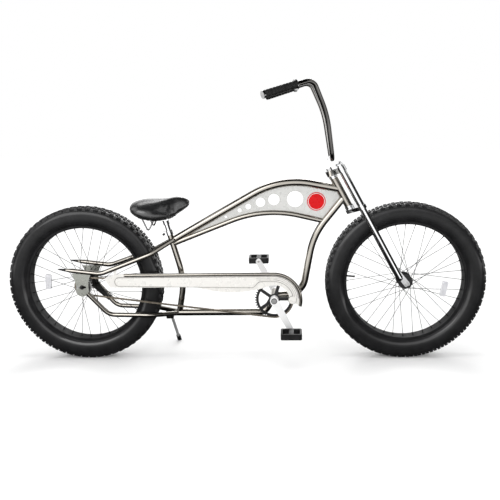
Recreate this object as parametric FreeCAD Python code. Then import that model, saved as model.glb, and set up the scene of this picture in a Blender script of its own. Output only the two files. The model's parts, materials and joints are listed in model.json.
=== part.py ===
import FreeCAD, Part
import math
import os

# Stretched cruiser bicycle with fat tyres, built piece by piece.
# Lengths are in millimetres and angles in degrees. While it is drawn, X runs forward from the rear axle,
# Y to the bicycle's left from its middle plane and Z up from the ground. The finished pieces are moved
# back by half the wheelbase, so that the origin lies on the ground midway between the axles.

Vector = FreeCAD.Vector
X = Vector(1, 0, 0)
Y = Vector(0, 1, 0)
Z = Vector(0, 0, 1)
LEFT = 1
RIGHT = -1
FULL_TURN = 360.0
QUARTER_TURN = 90.0
PARALLEL = 0.9

# Fits
RUN_FIT = 0.05
SLIDE_FIT = 0.05
CLEARANCE = 0.3
SLOT_PLAY = 0.1

# Wheels
WHEELBASE = 1527.0
TYRE_RADIUS = 375.0
TYRE_WIDTH = 99.0
TREAD_DEPTH = 5.0
TYRE_WALL = 4.0
CASING_SWELL = 2.5
CROWN_WIDTH = 56.0
SHOULDER_WIDTH = 82.0
SHOULDER_DROP = 9.0
KNOB_COUNT = 34
KNOB_LENGTH = 21.0
KNOB_GROOVE = 6.0
RIM_RADIUS = 275.0
RIM_WIDTH = 72.0
RIM_WALL = 3.0
RIM_FLANGE = 12.0
SPOKE_COUNT = 36
SPOKE_RADIUS = 1.1
SPOKE_STAGGER = 1.5
SPOKE_CROSS_ANGLE = 60.0
SPOKE_RIM_OFFSET = 3.0
TUBE_SECTION = 39.0
TUBE_WALL = 1.5
TUBE_DROP = 5.0
VALVE_RADIUS = 4.0
VALVE_BORE = 2.0
VALVE_LENGTH = 34.0
FRONT_VALVE_ANGLE = 175.0
REAR_VALVE_ANGLE = 25.0
REFLECTOR_LENGTH = 72.0
REFLECTOR_HEIGHT = 27.0
REFLECTOR_THICKNESS = 12.0
REFLECTOR_FACE = 20.0
REFLECTOR_CORNER = 6.0
REFLECTOR_ORBIT = 188.0
FRONT_REFLECTOR_ANGLE = -12.0
REAR_REFLECTOR_ANGLE = 177.0

# Hubs and axles
AXLE_RADIUS = 5.0
NUT_FLATS = 15.0
NUT_HEIGHT = 9.0
WASHER_RADIUS = 10.5
WASHER_THICKNESS = 1.6
AXLE_STICK_OUT = 6.0
HUB_FLANGE_RADIUS = 34.0
HUB_FLANGE_THICKNESS = 3.0
HUB_WALL = 3.0
CONE_LENGTH = 10.0
FRONT_HUB_SPACING = 135.0
FRONT_FLANGE_SPACING = 62.0
FRONT_CONE_RADIUS = 10.0
REAR_HUB_SPACING = 170.0
REAR_FLANGE_SPACING = 72.0
REAR_CONE_RADIUS = 18.0
REAR_HUB_END = 58.0
HUB_END_GAP = 5.5
SPACER_RADIUS = 8.5

# Head tube and fork
HEAD_ANGLE = 62.0
FORK_RAKE = 65.0
LEG_OFFSET = 50.0
LEG_SPACING = 146.0
LEG_RADIUS = 15.0
LEG_SLEEVE_RADIUS = 16.5
LEG_BORE = 12.5
LEG_CAP_HEIGHT = 7.0
LEG_FOOT = 42.0
TIP_THICKNESS = 5.0
TIP_RADIUS = 14.0
TIP_LENGTH = 80.0
LOWER_CROWN_HEIGHT = 412.0
LOWER_CROWN_THICKNESS = 18.0
UPPER_CROWN_THICKNESS = 26.0
CROWN_STEM_RADIUS = 25.0
CROWN_LEG_RADIUS = 21.5
HEAD_TUBE_LENGTH = 146.0
HEAD_TUBE_RADIUS = 18.5
HEAD_TUBE_BORE = 16.5
CUP_RADIUS = 21.0
CUP_FLANGE = 10.0
CUP_SLEEVE = 12.0
RACE_HEIGHT = 5.0
HEADSET_CONE_RADIUS = 15.0
STEERER_RADIUS = 12.7
STEERER_BORE = 10.5
TOP_NUT_FLATS = 22.0
TOP_NUT_HEIGHT = 10.0

# Handlebar
BAR_RADIUS = 11.1
BAR_BORE = 9.3
BAR_CLAMP_FORWARD = 33.0
BAR_CLAMP_HEIGHT = 40.0
BAR_CLAMP_RADIUS = 19.0
BAR_BARREL_RADIUS = 16.0
BAR_CLAMP_WIDTH = 48.0
CLAMP_SPLIT = 1.0
CLAMP_LUG_HEIGHT = 7.0
CLAMP_BOLT_RADIUS = 2.5
CLAMP_BOLT_HEAD = 4.0
CLAMP_BOLT_DEPTH = 14.0
CLAMP_BOLT_INSET = 9.0
CLAMP_BOLT_REACH = 14.5
BAR_FOOT_SPREAD = 66.0
BAR_RISER_BACK = 28.0
BAR_RISER_RISE = 201.0
BAR_RISER_SPREAD = 120.0
BAR_TOP_BACK = 91.5
BAR_TOP_RISE = 351.0
BAR_TOP_SPREAD = 190.0
BAR_END_BACK = 296.0
BAR_END_RISE = 292.0
BAR_END_SPREAD = 300.0
BAR_FOOT_BEND = 45.0
BAR_RISER_BEND = 450.0
BAR_TOP_BEND = 48.0
GRIP_LENGTH = 150.0
GRIP_RADIUS = 17.0
GRIP_GROOVE = 1.2
GRIP_RIB_COUNT = 9
GRIP_FLANGE_RADIUS = 23.0
GRIP_FLANGE_WIDTH = 6.0
GRIP_CAP_LENGTH = 9.0

# Main frame tubes
BOTTOM_BRACKET_HEIGHT = 305.0
BOTTOM_BRACKET_WIDTH = 100.0
BOTTOM_BRACKET_RADIUS = 21.0
BOTTOM_BRACKET_BORE = 17.5
TOP_TUBE_RADIUS = 17.0
TOP_TUBE_BORE = 15.0
TOP_TUBE_SEAT_HEIGHT = 577.5
TOP_TUBE_BEND_FORWARD = 944.0
TOP_TUBE_BEND_HEIGHT = 869.0
TOP_TUBE_BEND = 400.0
TOP_TUBE_HEAD_DISTANCE = 533.0
ARCH_TUBE_RADIUS = 12.0
ARCH_TUBE_BORE = 10.2
ARCH_SEAT_HEIGHT = 563.0
ARCH_BEND_FORWARD = 869.0
ARCH_BEND_HEIGHT = 732.0
ARCH_BEND = 545.0
ARCH_FRONT_HEIGHT = 664.0
DOWN_TUBE_RADIUS = 16.5
DOWN_TUBE_BORE = 14.5
DOWN_TUBE_HEAD_DISTANCE = 489.0
DOWN_UPPER_BEND_FORWARD = 1098.0
DOWN_UPPER_BEND_HEIGHT = 600.0
DOWN_UPPER_BEND = 350.0
DOWN_LOWER_BEND_FORWARD = 1043.0
DOWN_LOWER_BEND_HEIGHT = 312.0
DOWN_LOWER_BEND = 90.0
BOTTOM_TUBE_RADIUS = 16.5
BOTTOM_TUBE_BORE = 14.5
BOTTOM_TUBE_HEIGHT = 222.0
BOTTOM_TUBE_RISE_ANGLE = 60.0
BOTTOM_TUBE_BEND = 45.0
BOTTOM_TUBE_OVERHANG = 18.0
SEAT_TUBE_RADIUS = 14.5
SEAT_TUBE_ANGLE = 75.0
SEAT_BEND_FORWARD = 475.6
SEAT_BEND_HEIGHT = 388.0
SEAT_BEND = 365.0
SEAT_TUBE_FOOT_FORWARD = 446.0
SEAT_TUBE_TOP = 250.0
PANEL_THICKNESS = 2.5
PANEL_HOLE_PLACES = (1013.0, 914.0, 851.0, 793.0, 752.0, 686.0)
PANEL_HOLE_FILLS = (0.612, 0.521, 0.531, 0.426, 0.4, 0.335)
EMBLEM_RADIUS = 43.0
EMBLEM_THICKNESS = 2.0
EMBLEM_SETBACK = 128.0
EMBLEM_DROP = 18.2

# Rear stays and dropouts
STAY_RADIUS = 11.0
STAY_BORE = 9.3
SEAT_STAY_TOP = (436.0, 19.0, 587.0)
SEAT_STAY_KNEE = (328.0, 67.0, 526.0)
SEAT_STAY_HEEL = (95.0, 94.0, 441.0)
FIN_TIP = (-107.0, 98.0, 466.0)
FIN_TAPER = 70.0
FIN_POINT_RADIUS = 2.0
SEAT_STAY_KNEE_BEND = 120.0
SEAT_STAY_HEEL_BEND = 90.0
CHAIN_STAY_REAR = (24.0, 90.0, 346.0)
CHAIN_STAY_BEND = (118.0, 79.0, 236.0)
CHAIN_STAY_KNEE = (318.0, 70.0, 229.0)
CHAIN_STAY_FRONT = (440.0, 16.0, 222.0)
CHAIN_STAY_REAR_RADIUS = 70.0
CHAIN_STAY_KNEE_RADIUS = 90.0
DROPOUT_THICKNESS = 6.0
DROPOUT_TOP_BACK = 46.0
DROPOUT_TOP_FORWARD = 47.0
DROPOUT_TOP_RISE = 66.0
DROPOUT_WAIST = 31.0
DROPOUT_BOTTOM_DROP = 45.0
DROPOUT_CHIN_DROP = 24.0
AXLE_SLOT_FORWARD = 14.0

# Seat
SEAT_POST_RADIUS = 12.7
SEAT_POST_BORE = 10.9
SEAT_POST_BOTTOM = 112.0
SEAT_POST_TOP = 306.0
COLLAR_RADIUS = 18.5
COLLAR_HEIGHT = 22.0
COLLAR_SLIT = 2.5
COLLAR_EAR = 14.0
COLLAR_BOLT_RADIUS = 3.0
SADDLE_CLAMP_WIDTH = 64.0
SADDLE_CLAMP_LENGTH = 30.0
SADDLE_CLAMP_THICKNESS = 20.0
SADDLE_SOCKET_RADIUS = 16.0
SADDLE_SOCKET_DEPTH = 26.0
RAIL_RADIUS = 3.5
RAIL_SPREAD = 22.0
RAIL_HEIGHT = 7.0
RAIL_FRONT_REACH = 42.0
RAIL_FRONT_SPREAD = 14.0
RAIL_SPRING_FRONT = 42.0
RAIL_SPRING_TIP = 70.0
RAIL_SPRING_REAR = 97.0
RAIL_SPRING_DROP = 58.0
RAIL_SPRING_SPREAD = 66.0
RAIL_BEND = 9.0
RAIL_TIP_BEND = 6.5
SADDLE_BASE_THICKNESS = 3.0
SADDLE_BASE_LIFT = 18.0
SADDLE_BASE_REAR = 108.0
SADDLE_BASE_FRONT = 54.0
SADDLE_BASE_REAR_WIDTH = 180.0
SADDLE_BASE_FRONT_WIDTH = 62.0
SADDLE_TUCK = 0.86
SADDLE_BROW = 0.74
SADDLE_SWELL_SHARE = 0.35
SADDLE_BROW_SHARE = 0.84
# Saddle stations: forward of the post, half width, underside and crest above the post's top
SADDLE_STATIONS = (
    (-145.0, 62.0, 54.0, 80.0),
    (-122.0, 98.0, 38.0, 99.0),
    (-86.0, 118.0, 21.0, 106.0),
    (-26.0, 104.0, 4.0, 103.5),
    (28.0, 62.0, 8.0, 106.0),
    (78.0, 38.0, 38.0, 111.0),
    (125.0, 20.0, 72.0, 94.0))

# Transmission
CHAIN_PITCH = 12.7
CHAIN_LINKS = 176
CHAINRING_TEETH = 44
SPROCKET_TEETH = 20
CHAIN_LINE = 66.0
CHAIN_ROLLER_RADIUS = 3.9
CHAIN_INNER_WIDTH = 3.3
CHAIN_PLATE = 1.0
CHAIN_PLATE_HEIGHT = 8.2
CHAIN_PLATE_PLAY = 0.1
TOOTH_THICKNESS = 2.9
TOOTH_HEIGHT = 3.6
TOOTH_TIP_WIDTH = 1.8
TOOTH_PLAY = 0.35
TOOTH_SEAT_ANGLES = (20.0, 55.0, 90.0)
CHAINRING_RIM = 15.0
CHAINRING_ARMS = 5
CHAINRING_ARM_WIDTH = 15.0
SPIDER_RADIUS = 26.0
DRIVER_WIDTH = 12.0
DRIVER_BEARING_RADIUS = 15.0
DRIVER_BODY_RADIUS = 22.0
CRANK_LENGTH = 165.0
CRANK_ANGLE = -61.5
CRANK_THICKNESS = 13.0
CRANK_INNER_FACE = 92.0
CRANK_BOSS_RADIUS = 19.0
CRANK_EYE_RADIUS = 13.0
SPINDLE_RADIUS = 10.0
SPINDLE_END_RADIUS = 8.0
BB_CUP_FLANGE = 4.0
BB_CUP_DEPTH = 16.0
CRANK_BOLT_RADIUS = 11.0
CRANK_BOLT_HEIGHT = 3.0
PEDAL_LENGTH = 98.0
PEDAL_WIDTH = 88.0
PEDAL_HEIGHT = 28.0
PEDAL_RAIL = 9.0
PEDAL_CORNER = 10.0
PEDAL_BARREL_RADIUS = 11.0
PEDAL_SPINDLE_RADIUS = 5.0
PEDAL_GAP = 6.0

# Chain guard
GUARD_FACE = 84.0
GUARD_SHEET = 2.0
GUARD_OUTER_RADIUS = 133.0
GUARD_INNER_RADIUS = 72.0
GUARD_END_ANGLE = -14.0
GUARD_INNER_END_ANGLE = -6.0
GUARD_INNER_START_ANGLE = 120.0
GUARD_REAR = 108.0
GUARD_REAR_HEIGHT = 416.0
GUARD_SHOULDER = 204.0
GUARD_LOWER_REAR = 133.0
GUARD_LOWER_HEIGHT = 370.0
GUARD_BELLY_START = 545.0
GUARD_BELLY = 700.0
GUARD_BELLY_HEIGHT = 344.0
GUARD_BEAD = 8.0
GUARD_BEAD_WALL = 1.5
GUARD_BOSS_RADIUS = 18.0
GUARD_BOSS_FORWARD = 86.0
GUARD_BOSS_HEIGHT = 4.0
GUARD_PANEL_REAR = 157.0
GUARD_PANEL_CORNER = 20.0
GUARD_PANEL_FRONT = 806.0
GUARD_PANEL_STEP = 41.0
GUARD_PANEL_REAR_MARGIN = 7.0
GUARD_PANEL_FRONT_DROP = 4.0
GUARD_PANEL_TOP_MARGIN = 3.0
GUARD_PANEL_RISE = 1.5
GUARD_RIB_RADIUS = 1.2
GUARD_RIB_SPACING = 8.0
GUARD_RIB_COUNT = 2
GUARD_RIB_FIRST = 90.0
GUARD_RIB_SETBACK = 82.0
GUARD_RIB_END_ANGLE = 4.0
GUARD_STRAP_WIDTH = 14.0
GUARD_STRAP_THICKNESS = 3.0
GUARD_FRONT_STRAP_ANGLE = 16.0
GUARD_REAR_STRAP_FORWARD = 160.0

# Coaster brake
BRAKE_DISC_RADIUS = 24.0
BRAKE_ARM_THICKNESS = 3.5
BRAKE_ARM_TIP_RADIUS = 8.0
BRAKE_ARM_REACH = 0.62
BRAKE_CLIP_WALL = 2.0
BRAKE_CLIP_WIDTH = 14.0

# Kickstand
KICKSTAND_PIVOT = (392.0, 50.0, 197.0)
KICKSTAND_FOOT_FORWARD = 400.0
KICKSTAND_FOOT_SPREAD = 222.0
KICKSTAND_STOWED = (-0.991, 0.12, -0.05)
KICKSTAND_LEG_RADIUS = 7.0
KICKSTAND_EYE_RADIUS = 11.0
KICKSTAND_EYE_LIP = 0.6
KICKSTAND_PIN_RADIUS = 5.0
KICKSTAND_PIN_HEAD = 8.0
KICKSTAND_PIN_HEAD_HEIGHT = 4.0
KICKSTAND_FOOT_RADIUS = 10.5
KICKSTAND_FOOT_LENGTH = 38.0
KICKSTAND_FOOT_COVER = 5.0
KICKSTAND_BLOCK_LENGTH = 32.0
KICKSTAND_BLOCK_INNER = 18.0
KICKSTAND_BLOCK_BOTTOM = 184.0

# Places worked out from the sizes above
AXLE_HEIGHT = TYRE_RADIUS
REAR_AXLE = Vector(0, 0, AXLE_HEIGHT)
FRONT_AXLE = Vector(WHEELBASE, 0, AXLE_HEIGHT)
HEAD_LEAN = math.radians(QUARTER_TURN - HEAD_ANGLE)
STEER_UP = Vector(-math.sin(HEAD_LEAN), 0, math.cos(HEAD_LEAN))
STEER_FORWARD = Vector(math.cos(HEAD_LEAN), 0, math.sin(HEAD_LEAN))
STEER_ROOT = FRONT_AXLE - STEER_FORWARD * FORK_RAKE
SEAT_LEAN = math.radians(QUARTER_TURN - SEAT_TUBE_ANGLE)
SEAT_UP = Vector(-math.sin(SEAT_LEAN), 0, math.cos(SEAT_LEAN))
SEAT_ROOT = Vector(SEAT_BEND_FORWARD, 0, SEAT_BEND_HEIGHT)
LOWER_CROWN_TOP = LOWER_CROWN_HEIGHT + LOWER_CROWN_THICKNESS
HEAD_LOW = LOWER_CROWN_TOP + RACE_HEIGHT + CLEARANCE + CUP_FLANGE
HEAD_HIGH = HEAD_LOW + HEAD_TUBE_LENGTH
UPPER_CROWN_HEIGHT = HEAD_HIGH + CUP_FLANGE + CLEARANCE + RACE_HEIGHT
UPPER_CROWN_TOP = UPPER_CROWN_HEIGHT + UPPER_CROWN_THICKNESS
BAR_HEIGHT = UPPER_CROWN_TOP + BAR_CLAMP_HEIGHT
PEDAL_INNER_FACE = CRANK_INNER_FACE + CRANK_THICKNESS + PEDAL_GAP


def steer_point(up, side, forward):
    """Point beside the steering axis, measured from the axle's level on it"""
    return STEER_ROOT + STEER_UP * up + Y * side + STEER_FORWARD * forward


def seat_point(up):
    """Point on the straight upper axis of the seat tube"""
    return SEAT_ROOT + SEAT_UP * up


def sided(place, side):
    """Drawing point on the left or right of the middle plane"""
    forward, spread, height = place
    return Vector(forward, side * spread, height)


# Shape helpers


def ring_face(centre, direction, outer, bore):
    wires = [Part.Wire(Part.makeCircle(outer, centre, direction))]
    if bore > 0:
        wires.append(Part.Wire(Part.makeCircle(bore, centre, direction)))
    return Part.makeFace(wires, "Part::FaceMakerBullseye")


def rod(start, end, radius, bore=0.0):
    return ring_face(start, end - start, radius, bore).extrude(end - start)


def fuse(shapes):
    return shapes[0].multiFuse(shapes[1:]).removeSplitter()


def cut(shape, tools):
    """The main body that is left when the tools are cut away"""
    return max(shape.cut(tools).Solids, key=lambda solid: solid.Volume)


def path_runs(points, bends):
    """Straight runs and tangent bends along a bent tube's centre line"""
    runs = []
    start = points[0]
    for corner, after, radius in zip(points[1:], points[2:], bends):
        into = (corner - start).normalize()
        out = (after - corner).normalize()
        turn = into.getAngle(out)
        reach = radius * math.tan(turn / 2)
        entry = corner - into * reach
        leave = corner + out * reach
        normal = into.cross(out).normalize()
        centre = entry + normal.cross(into) * radius
        runs.append((start, entry, None))
        runs.append((entry, leave, (centre, normal, math.degrees(turn))))
        start = leave
    runs.append((start, points[-1], None))
    return runs


def bent_tube(points, bends, radius, bore=0.0):
    pieces = []
    for start, end, bend in path_runs(points, bends):
        if bend is None:
            pieces.append(rod(start, end, radius, bore))
        else:
            centre, normal, turn = bend
            section = ring_face(start, normal.cross(start - centre), radius, bore)
            pieces.append(section.revolve(centre, normal, turn))
    return fuse(pieces)


def bent_line(points, bends):
    """Edges of a bent tube's centre line"""
    edges = []
    for start, end, bend in path_runs(points, bends):
        if bend is None:
            edges.append(Part.LineSegment(start, end).toShape())
        else:
            centre, normal, turn = bend
            middle = centre + FreeCAD.Rotation(normal, turn / 2).multVec(start - centre)
            edges.append(Part.Arc(start, middle, end).toShape())
    return edges


def height_at(points, bends, forward):
    """Height of a flat bent tube's centre line at a distance forward"""
    for start, end, bend in path_runs(points, bends):
        if start.x <= forward <= end.x:
            break
    if bend is None:
        return start.z + (end.z - start.z) * (forward - start.x) / (end.x - start.x)
    centre = bend[0]
    radius = start.distanceToPoint(centre)
    rise = math.sqrt(radius ** 2 - (forward - centre.x) ** 2)
    return centre.z + math.copysign(rise, start.z - centre.z)


def stand(shape, origin, across, up):
    """Stand a shape drawn in the XY plane on the plane through origin"""
    out = across.cross(up)
    shape.Placement = FreeCAD.Placement(FreeCAD.Matrix(
        across.x, up.x, out.x, origin.x,
        across.y, up.y, out.y, origin.y,
        across.z, up.z, out.z, origin.z))
    return shape


def rounded_plate(circles, thickness):
    """Plate wrapped round circles given as (x, y, radius), counter-clockwise, on the XY plane"""
    centres = [Vector(x, y, 0) for x, y, radius in circles]
    radii = [radius for x, y, radius in circles]
    count = len(circles)
    sides = []
    for index in range(count):
        after = (index + 1) % count
        run = centres[after] - centres[index]
        lean = (radii[index] - radii[after]) / run.Length
        run.normalize()
        normal = run * lean + Vector(run.y, -run.x, 0) * math.sqrt(1 - lean ** 2)
        sides.append((centres[index] + normal * radii[index], centres[after] + normal * radii[after]))
    edges = []
    for index in range(count):
        outward = Vector()
        for other in (index - 1, (index + 1) % count):
            outward -= (centres[other] - centres[index]).normalize()
        crest = centres[index] + outward.normalize() * radii[index]
        edges.append(Part.Arc(sides[index - 1][1], crest, sides[index][0]).toShape())
        edges.append(Part.LineSegment(*sides[index]).toShape())
    return Part.Face(Part.Wire(edges)).extrude(Z * thickness)


def turned(outline, centre):
    """Ring turned about a crosswise axle from an outline of (distance to the left, radius)"""
    corners = [Vector(0, side, radius) for side, radius in outline]
    face = Part.Face(Part.makePolygon(corners + corners[:1]))
    ring = face.revolve(Vector(), Y, FULL_TURN)
    ring.translate(centre)
    return ring


def hexagon(start, direction, flats, height):
    corner = flats / math.sqrt(3)
    points = []
    for index in range(7):
        angle = math.radians(60 * index)
        points.append(Vector(math.cos(angle), math.sin(angle), 0) * corner)
    prism = Part.Face(Part.makePolygon(points)).extrude(Z * height)
    prism.Placement = FreeCAD.Placement(start, FreeCAD.Rotation(Z, direction))
    return prism


def box(low, high):
    return Part.makeBox(high.x - low.x, high.y - low.y, high.z - low.z, low)


def edges_along(shape, direction):
    return [edge for edge in shape.Edges
            if abs(edge.tangentAt(edge.FirstParameter).dot(direction)) > PARALLEL]


def polar(centre, radius, angle, side=0.0):
    """Point at a radius and angle from a crosswise axle"""
    turn = math.radians(angle)
    return centre + Vector(radius * math.cos(turn), side, radius * math.sin(turn))


# Chain path


def chain_layout(distance):
    """Half of the ring's and the sprocket's unwrapped angle, and the free span, for a centre distance"""
    ring = CHAIN_PITCH / (2 * math.sin(math.pi / CHAINRING_TEETH))
    sprocket = CHAIN_PITCH / (2 * math.sin(math.pi / SPROCKET_TEETH))
    dip = math.asin((ring - sprocket) / distance)
    return ring, sprocket, dip, distance * math.cos(dip)


def chain_count(distance):
    ring, sprocket, dip, span = chain_layout(distance)
    ring_links = (math.pi + 2 * dip) * CHAINRING_TEETH / (2 * math.pi)
    sprocket_links = (math.pi - 2 * dip) * SPROCKET_TEETH / (2 * math.pi)
    return ring_links + sprocket_links + 2 * span / CHAIN_PITCH


def chain_centres():
    """Distance between the sprocket centres at which the chain closes"""
    low = CHAIN_PITCH * CHAIN_LINKS / 4
    high = CHAIN_PITCH * CHAIN_LINKS / 2
    for step in range(60):
        middle = (low + high) / 2
        if chain_count(middle) < CHAIN_LINKS:
            low = middle
        else:
            high = middle
    return low


CENTRE_DISTANCE = chain_centres()
BOTTOM_BRACKET_RISE = BOTTOM_BRACKET_HEIGHT - AXLE_HEIGHT
BOTTOM_BRACKET = Vector(
    math.sqrt(CENTRE_DISTANCE ** 2 - BOTTOM_BRACKET_RISE ** 2), 0, BOTTOM_BRACKET_HEIGHT)


def chain_joints():
    """Link joints along the chain as (point, on the ring, on the sprocket)"""
    ring, sprocket, dip, span = chain_layout(CENTRE_DISTANCE)
    slope = math.atan2(BOTTOM_BRACKET_RISE, BOTTOM_BRACKET.x)
    along = Vector(math.cos(slope), 0, math.sin(slope))
    above = Vector(-math.sin(slope), 0, math.cos(slope))
    ring_links = (math.pi + 2 * dip) * CHAINRING_TEETH / (2 * math.pi)
    sprocket_links = (math.pi - 2 * dip) * SPROCKET_TEETH / (2 * math.pi)
    span_links = span / CHAIN_PITCH

    def on_circle(centre, radius, angle):
        return centre + along * (radius * math.sin(angle)) + above * (radius * math.cos(angle))

    joints = []
    for index in range(CHAIN_LINKS):
        step = float(index)
        if step <= ring_links:
            angle = -dip + step * 2 * math.pi / CHAINRING_TEETH
            joints.append((on_circle(BOTTOM_BRACKET, ring, angle), True, False))
            continue
        step -= ring_links
        if step < span_links:
            start = on_circle(BOTTOM_BRACKET, ring, math.pi + dip)
            end = on_circle(REAR_AXLE, sprocket, math.pi + dip)
            joints.append((start + (end - start) * (step / span_links), False, False))
            continue
        step -= span_links
        if step <= sprocket_links:
            angle = math.pi + dip + step * 2 * math.pi / SPROCKET_TEETH
            joints.append((on_circle(REAR_AXLE, sprocket, angle), False, True))
            continue
        step -= sprocket_links
        start = on_circle(REAR_AXLE, sprocket, -dip)
        end = on_circle(BOTTOM_BRACKET, ring, -dip)
        joints.append((start + (end - start) * (step / span_links), False, False))
    return joints


# Centre lines of the main tubes

SEAT_FOOT = Vector(SEAT_TUBE_FOOT_FORWARD, 0, BOTTOM_TUBE_HEIGHT)
SEAT_LINE = ([seat_point(SEAT_TUBE_TOP), SEAT_ROOT, SEAT_FOOT], [SEAT_BEND])


def seat_axis_at(height):
    return seat_point((height - SEAT_BEND_HEIGHT) / SEAT_UP.z)


TOP_LINE = ([
    seat_axis_at(TOP_TUBE_SEAT_HEIGHT),
    Vector(TOP_TUBE_BEND_FORWARD, 0, TOP_TUBE_BEND_HEIGHT),
    steer_point(TOP_TUBE_HEAD_DISTANCE, 0, 0)], [TOP_TUBE_BEND])
DOWN_HEAD = steer_point(DOWN_TUBE_HEAD_DISTANCE, 0, 0)
DOWN_UPPER = Vector(DOWN_UPPER_BEND_FORWARD, 0, DOWN_UPPER_BEND_HEIGHT)
DOWN_LINE = ([
    DOWN_HEAD,
    DOWN_UPPER,
    Vector(DOWN_LOWER_BEND_FORWARD, 0, DOWN_LOWER_BEND_HEIGHT),
    BOTTOM_BRACKET], [DOWN_UPPER_BEND, DOWN_LOWER_BEND])
ARCH_SHARE = (ARCH_FRONT_HEIGHT - DOWN_UPPER.z) / (DOWN_HEAD.z - DOWN_UPPER.z)
ARCH_LINE = ([
    seat_axis_at(ARCH_SEAT_HEIGHT),
    Vector(ARCH_BEND_FORWARD, 0, ARCH_BEND_HEIGHT),
    DOWN_UPPER + (DOWN_HEAD - DOWN_UPPER) * ARCH_SHARE], [ARCH_BEND])
BOTTOM_TUBE_RISE = BOTTOM_BRACKET_HEIGHT - BOTTOM_TUBE_HEIGHT
BOTTOM_RISE_RUN = BOTTOM_TUBE_RISE / math.tan(math.radians(BOTTOM_TUBE_RISE_ANGLE))
BOTTOM_LINE = ([
    Vector(SEAT_TUBE_FOOT_FORWARD - BOTTOM_TUBE_OVERHANG, 0, BOTTOM_TUBE_HEIGHT),
    Vector(BOTTOM_BRACKET.x - BOTTOM_RISE_RUN, 0, BOTTOM_TUBE_HEIGHT),
    BOTTOM_BRACKET], [BOTTOM_TUBE_BEND])


def seat_stay_line(side):
    points = [sided(place, side) for place in (SEAT_STAY_TOP, SEAT_STAY_KNEE, SEAT_STAY_HEEL, FIN_TIP)]
    return points, [SEAT_STAY_KNEE_BEND, SEAT_STAY_HEEL_BEND]


def chain_stay_line(side):
    places = (CHAIN_STAY_REAR, CHAIN_STAY_BEND, CHAIN_STAY_KNEE, CHAIN_STAY_FRONT)
    return [sided(place, side) for place in places], [CHAIN_STAY_REAR_RADIUS, CHAIN_STAY_KNEE_RADIUS]


PARTS = {}


def head_and_frame_tubes():
    """Head tube, bottom bracket shell and the tubes mitred against them"""
    head_low = steer_point(HEAD_LOW, 0, 0)
    head_high = steer_point(HEAD_HIGH, 0, 0)
    head_solid = rod(head_low, head_high, HEAD_TUBE_RADIUS)
    PARTS["head_tube"] = rod(head_low, head_high, HEAD_TUBE_RADIUS, HEAD_TUBE_BORE)

    half_shell = Y * (BOTTOM_BRACKET_WIDTH / 2)
    shell_ends = (BOTTOM_BRACKET - half_shell, BOTTOM_BRACKET + half_shell)
    shell_solid = rod(*shell_ends, BOTTOM_BRACKET_RADIUS)
    PARTS["bottom_bracket_shell"] = rod(*shell_ends, BOTTOM_BRACKET_RADIUS, BOTTOM_BRACKET_BORE)

    seat_solid = bent_tube(*SEAT_LINE, SEAT_TUBE_RADIUS)
    top_solid = bent_tube(*TOP_LINE, TOP_TUBE_RADIUS)
    down_solid = bent_tube(*DOWN_LINE, DOWN_TUBE_RADIUS)
    arch_solid = bent_tube(*ARCH_LINE, ARCH_TUBE_RADIUS)
    bottom_solid = bent_tube(*BOTTOM_LINE, BOTTOM_TUBE_RADIUS)

    seat_tube = bent_tube(*SEAT_LINE, SEAT_TUBE_RADIUS, SEAT_POST_RADIUS + SLIDE_FIT)
    PARTS["seat_tube"] = cut(seat_tube, [bottom_solid])
    PARTS["top_tube"] = cut(bent_tube(*TOP_LINE, TOP_TUBE_RADIUS, TOP_TUBE_BORE), [head_solid, seat_solid])
    PARTS["down_tube"] = cut(
        bent_tube(*DOWN_LINE, DOWN_TUBE_RADIUS, DOWN_TUBE_BORE), [head_solid, shell_solid, top_solid])
    PARTS["arch_tube"] = cut(
        bent_tube(*ARCH_LINE, ARCH_TUBE_RADIUS, ARCH_TUBE_BORE),
        [head_solid, seat_solid, top_solid, down_solid])
    PARTS["bottom_tube"] = cut(
        bent_tube(*BOTTOM_LINE, BOTTOM_TUBE_RADIUS, BOTTOM_TUBE_BORE), [shell_solid, down_solid])

    outline = bent_line(*TOP_LINE)
    outline.append(Part.LineSegment(TOP_LINE[0][-1], DOWN_HEAD).toShape())
    outline.append(Part.LineSegment(DOWN_HEAD, ARCH_LINE[0][-1]).toShape())
    outline.extend(bent_line(*ARCH_LINE))
    outline.append(Part.LineSegment(ARCH_LINE[0][0], TOP_LINE[0][0]).toShape())
    sheet = Part.Face(Part.Wire(Part.__sortEdges__(outline))).extrude(Y * PANEL_THICKNESS)
    sheet.translate(Y * (-PANEL_THICKNESS / 2))
    holes = []
    for forward, fill in zip(PANEL_HOLE_PLACES, PANEL_HOLE_FILLS):
        top_edge = height_at(*TOP_LINE, forward) - TOP_TUBE_RADIUS
        arch_edge = height_at(*ARCH_LINE, forward) + ARCH_TUBE_RADIUS
        radius = fill * (top_edge - arch_edge) / 2
        middle = Vector(forward, -PANEL_THICKNESS, (top_edge + arch_edge) / 2)
        holes.append(rod(middle, middle + Y * (2 * PANEL_THICKNESS), radius))
    tubes = [head_solid, seat_solid, top_solid, down_solid, arch_solid]
    PARTS["frame_panel"] = cut(sheet, tubes + holes)
    emblem_back = DOWN_HEAD - Vector(EMBLEM_SETBACK, PANEL_THICKNESS / 2, EMBLEM_DROP)
    PARTS["emblem_disc"] = rod(emblem_back, emblem_back - Y * EMBLEM_THICKNESS, EMBLEM_RADIUS)
    return {"seat": seat_solid, "top": top_solid, "down": down_solid, "bottom": bottom_solid}


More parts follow.
